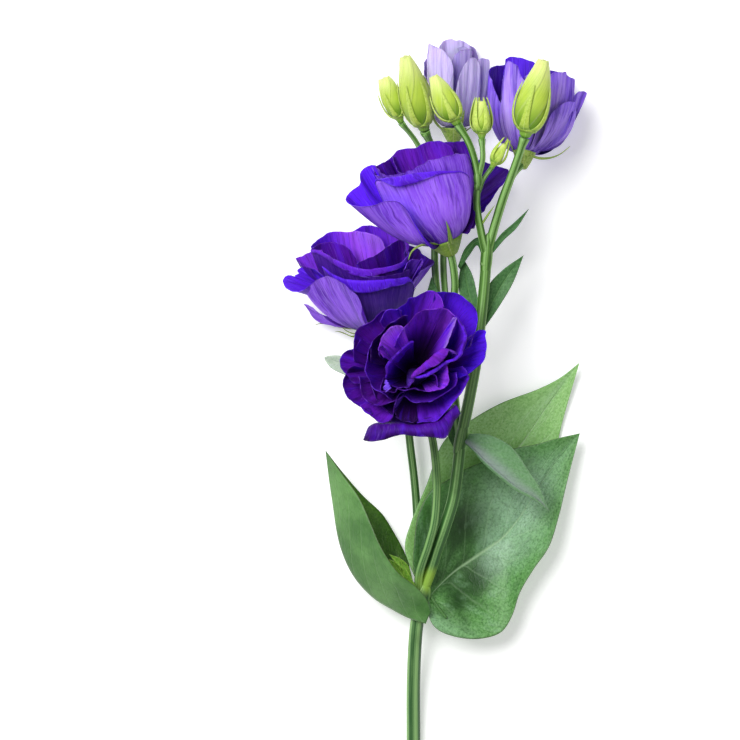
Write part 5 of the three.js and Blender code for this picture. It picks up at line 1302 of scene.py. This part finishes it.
def addBudCup(parts, bud, place, length, table):
    # the cup hugs the bud's foot
    radius, foot = bud["radius"], budShape["foot"]
    lowR, rimR = [radius * onTable(table, np.array(at))[0] * 1.03 for at in (0.0, budShape["cupTo"])]
    lowH, rimH = [foot + (length - foot) * onTable(table, np.array(at))[1] for at in (0.0, budShape["cupTo"])]
    outline = [(0.01, 0.2), (1.1, 0.2), (lowR + 0.2, (lowH - 0.9) * 0.5), (lowR + 0.75, lowH - 0.4),
               ((lowR + 0.7 + (rimR + 0.6)) / 2 + 0.06 * radius, (lowH + rimH) / 2 - 0.2), (rimR + 0.45, rimH),
               (rimR + 0.15, rimH), (lowR + 0.1, lowH - 0.1), (0.01, lowH - 0.3)]
    steps, sides = budShape["cupSteps"], budShape["cupSides"]
    addTurned(parts, splineTable(outline, steps), place, sides, budShape["cupRibs"])
    # the leaf's pattern runs slower up the cup, and stops short of its tip
    parts.uv[-1][:, 1] = np.clip(np.arange(len(parts.uv[-1])) // sides / steps * 0.5, 0, 0.3)


def addBudSepals(parts, bud, place, length, table):
    radius, foot = bud["radius"], budShape["foot"]
    u, v = sheetGrid(*budShape["sepalGrid"])
    q = onTable(table, budShape["sepalFrom"] + bud.get("reach", budShape["sepalReach"]) * v)
    half = budShape["sepalWidth"] * bud.get("wide", 1) * radius * (1 - v) ** 0.9 * (0.75 + 0.25 * np.exp(-v * 5)) + 0.12
    out = 1.02 * radius * q[..., 0] + 0.42 + bud["spread"] * 1.3 * v ** 3
    # a keel along the middle, and the sides pressed onto the bud
    keel = budShape["keel"] * (1 - np.abs(u)) ** 1.5 * (1 - 0.6 * v)
    raised = out + keel - 0.34 * u ** 2 * (1 - v)
    tip = foot + (length - foot) * q[..., 1] + 0.8 * bud["spread"] * v ** 3
    for k in range(5):
        turn = u * half / np.maximum(out, 1) + 0.25 * v * math.sin(2.1 * k + radius)
        points = np.stack([raised * np.cos(turn), raised * np.sin(turn), tip], -1)
        addSheet(parts, placed(points, place, 72 * k + bud.get("turn", 20)), u, v, budShape["sepalThickness"], 0.2 * k)


def makeBud(name):
    bud = buds[name]
    towards = np.array(bud["tip"], float) - np.array(bud["base"], float)
    blunt = bud.get("blunt", 1) - 1
    table = splineTable([(r * (1 + blunt * h ** 3), h) for r, h in budShape["outline"]])
    shape = (bud, placement(bud["base"], towards, upwards), float(np.linalg.norm(towards)), table)
    parts = MeshParts()
    addBudPetals(parts, *shape)
    piece = parts.make("bud_" + name + "_fine", budMaterial)
    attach(piece, "root")
    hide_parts("bud_" + name + "_petals")
    cup = MeshParts()
    addBudCup(cup, *shape)
    addBudSepals(cup, *shape)
    piece = cup.make("budCalyx_" + name + "_fine", leafMaterials["budCalyx"])
    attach(piece, "root")
    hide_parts("bud_" + name + "_calyx")


budMaterial = budSkin("budGreen", budLook)
for name in buds:
    makeBud(name)
print("buds made")


# floor, light and camera, in metres

studio = {
    "floor": "#f4f4f4", "floorPale": "#ffffff", "floorSize": 6.0, "floorDown": 0.0002, "glow": 0.3, "sky": 0.33,
    "lamps": {"keyLight": ((-0.55, 0.7, 1.3), 24.0), "fillLight": ((0.9, -0.2, 1.2), 2.5)},
    "lampSize": 0.9, "lampsAimAt": (0, 0.2, 0.03), "lens": 360, "sensor": 36, "clipEnd": 30,
}


def makeFloor():
    half = studio["floorSize"] / 2 / mm
    corners = [(-half, -half, 0), (half, -half, 0), (half, half, 0), (-half, half, 0)]
    floor = makeMesh("floor", corners, [[0, 1, 2, 3]])
    s = Shade("paleFloor", studio, Roughness=0.9, Specular_IOR_Level=0.1)
    s.surface.inputs["Emission Color"].default_value = (1, 1, 1, 1)
    s.surface.inputs["Emission Strength"].default_value = studio["glow"]
    floor.data.materials.append(s.finish(s.blend(s.times(s.noise(None, 3.0, 2.0), 0.1), "floor", "floorPale")))
    floor.location.z = -studio["floorDown"]


def addLamp(name, place, power):
    lamp = bpy.data.lights.new(name, "AREA")
    lamp.shape = "DISK"
    lamp.size = studio["lampSize"]
    lamp.energy = power
    holder = bpy.data.objects.new(name, lamp)
    holder.location = place
    away = Vector([there - here for there, here in zip(place, studio["lampsAimAt"])])
    holder.rotation_mode = "QUATERNION"
    holder.rotation_quaternion = away.to_track_quat("Z", "Y")
    holder.visible_camera = False
    bpy.context.scene.collection.objects.link(holder)


makeFloor()
for name, (place, power) in studio["lamps"].items():
    addLamp(name, place, power)

world = bpy.data.worlds.new("softRoom")
world.use_nodes = True
background = world.node_tree.nodes["Background"]
background.inputs[0].default_value = (1, 1, 1, 1)
background.inputs[1].default_value = studio["sky"]
bpy.context.scene.world = world
bpy.context.scene.view_settings.view_transform = "Standard"

camera = bpy.data.objects.new("camera", bpy.data.cameras.new("camera"))
camera.data.lens = studio["lens"]
camera.data.sensor_width = studio["sensor"]
camera.data.clip_end = studio["clipEnd"]
camera.location = [c * mm for c in view["at"]]
bpy.context.scene.collection.objects.link(camera)
bpy.context.scene.camera = camera
print("floor, light and camera made")
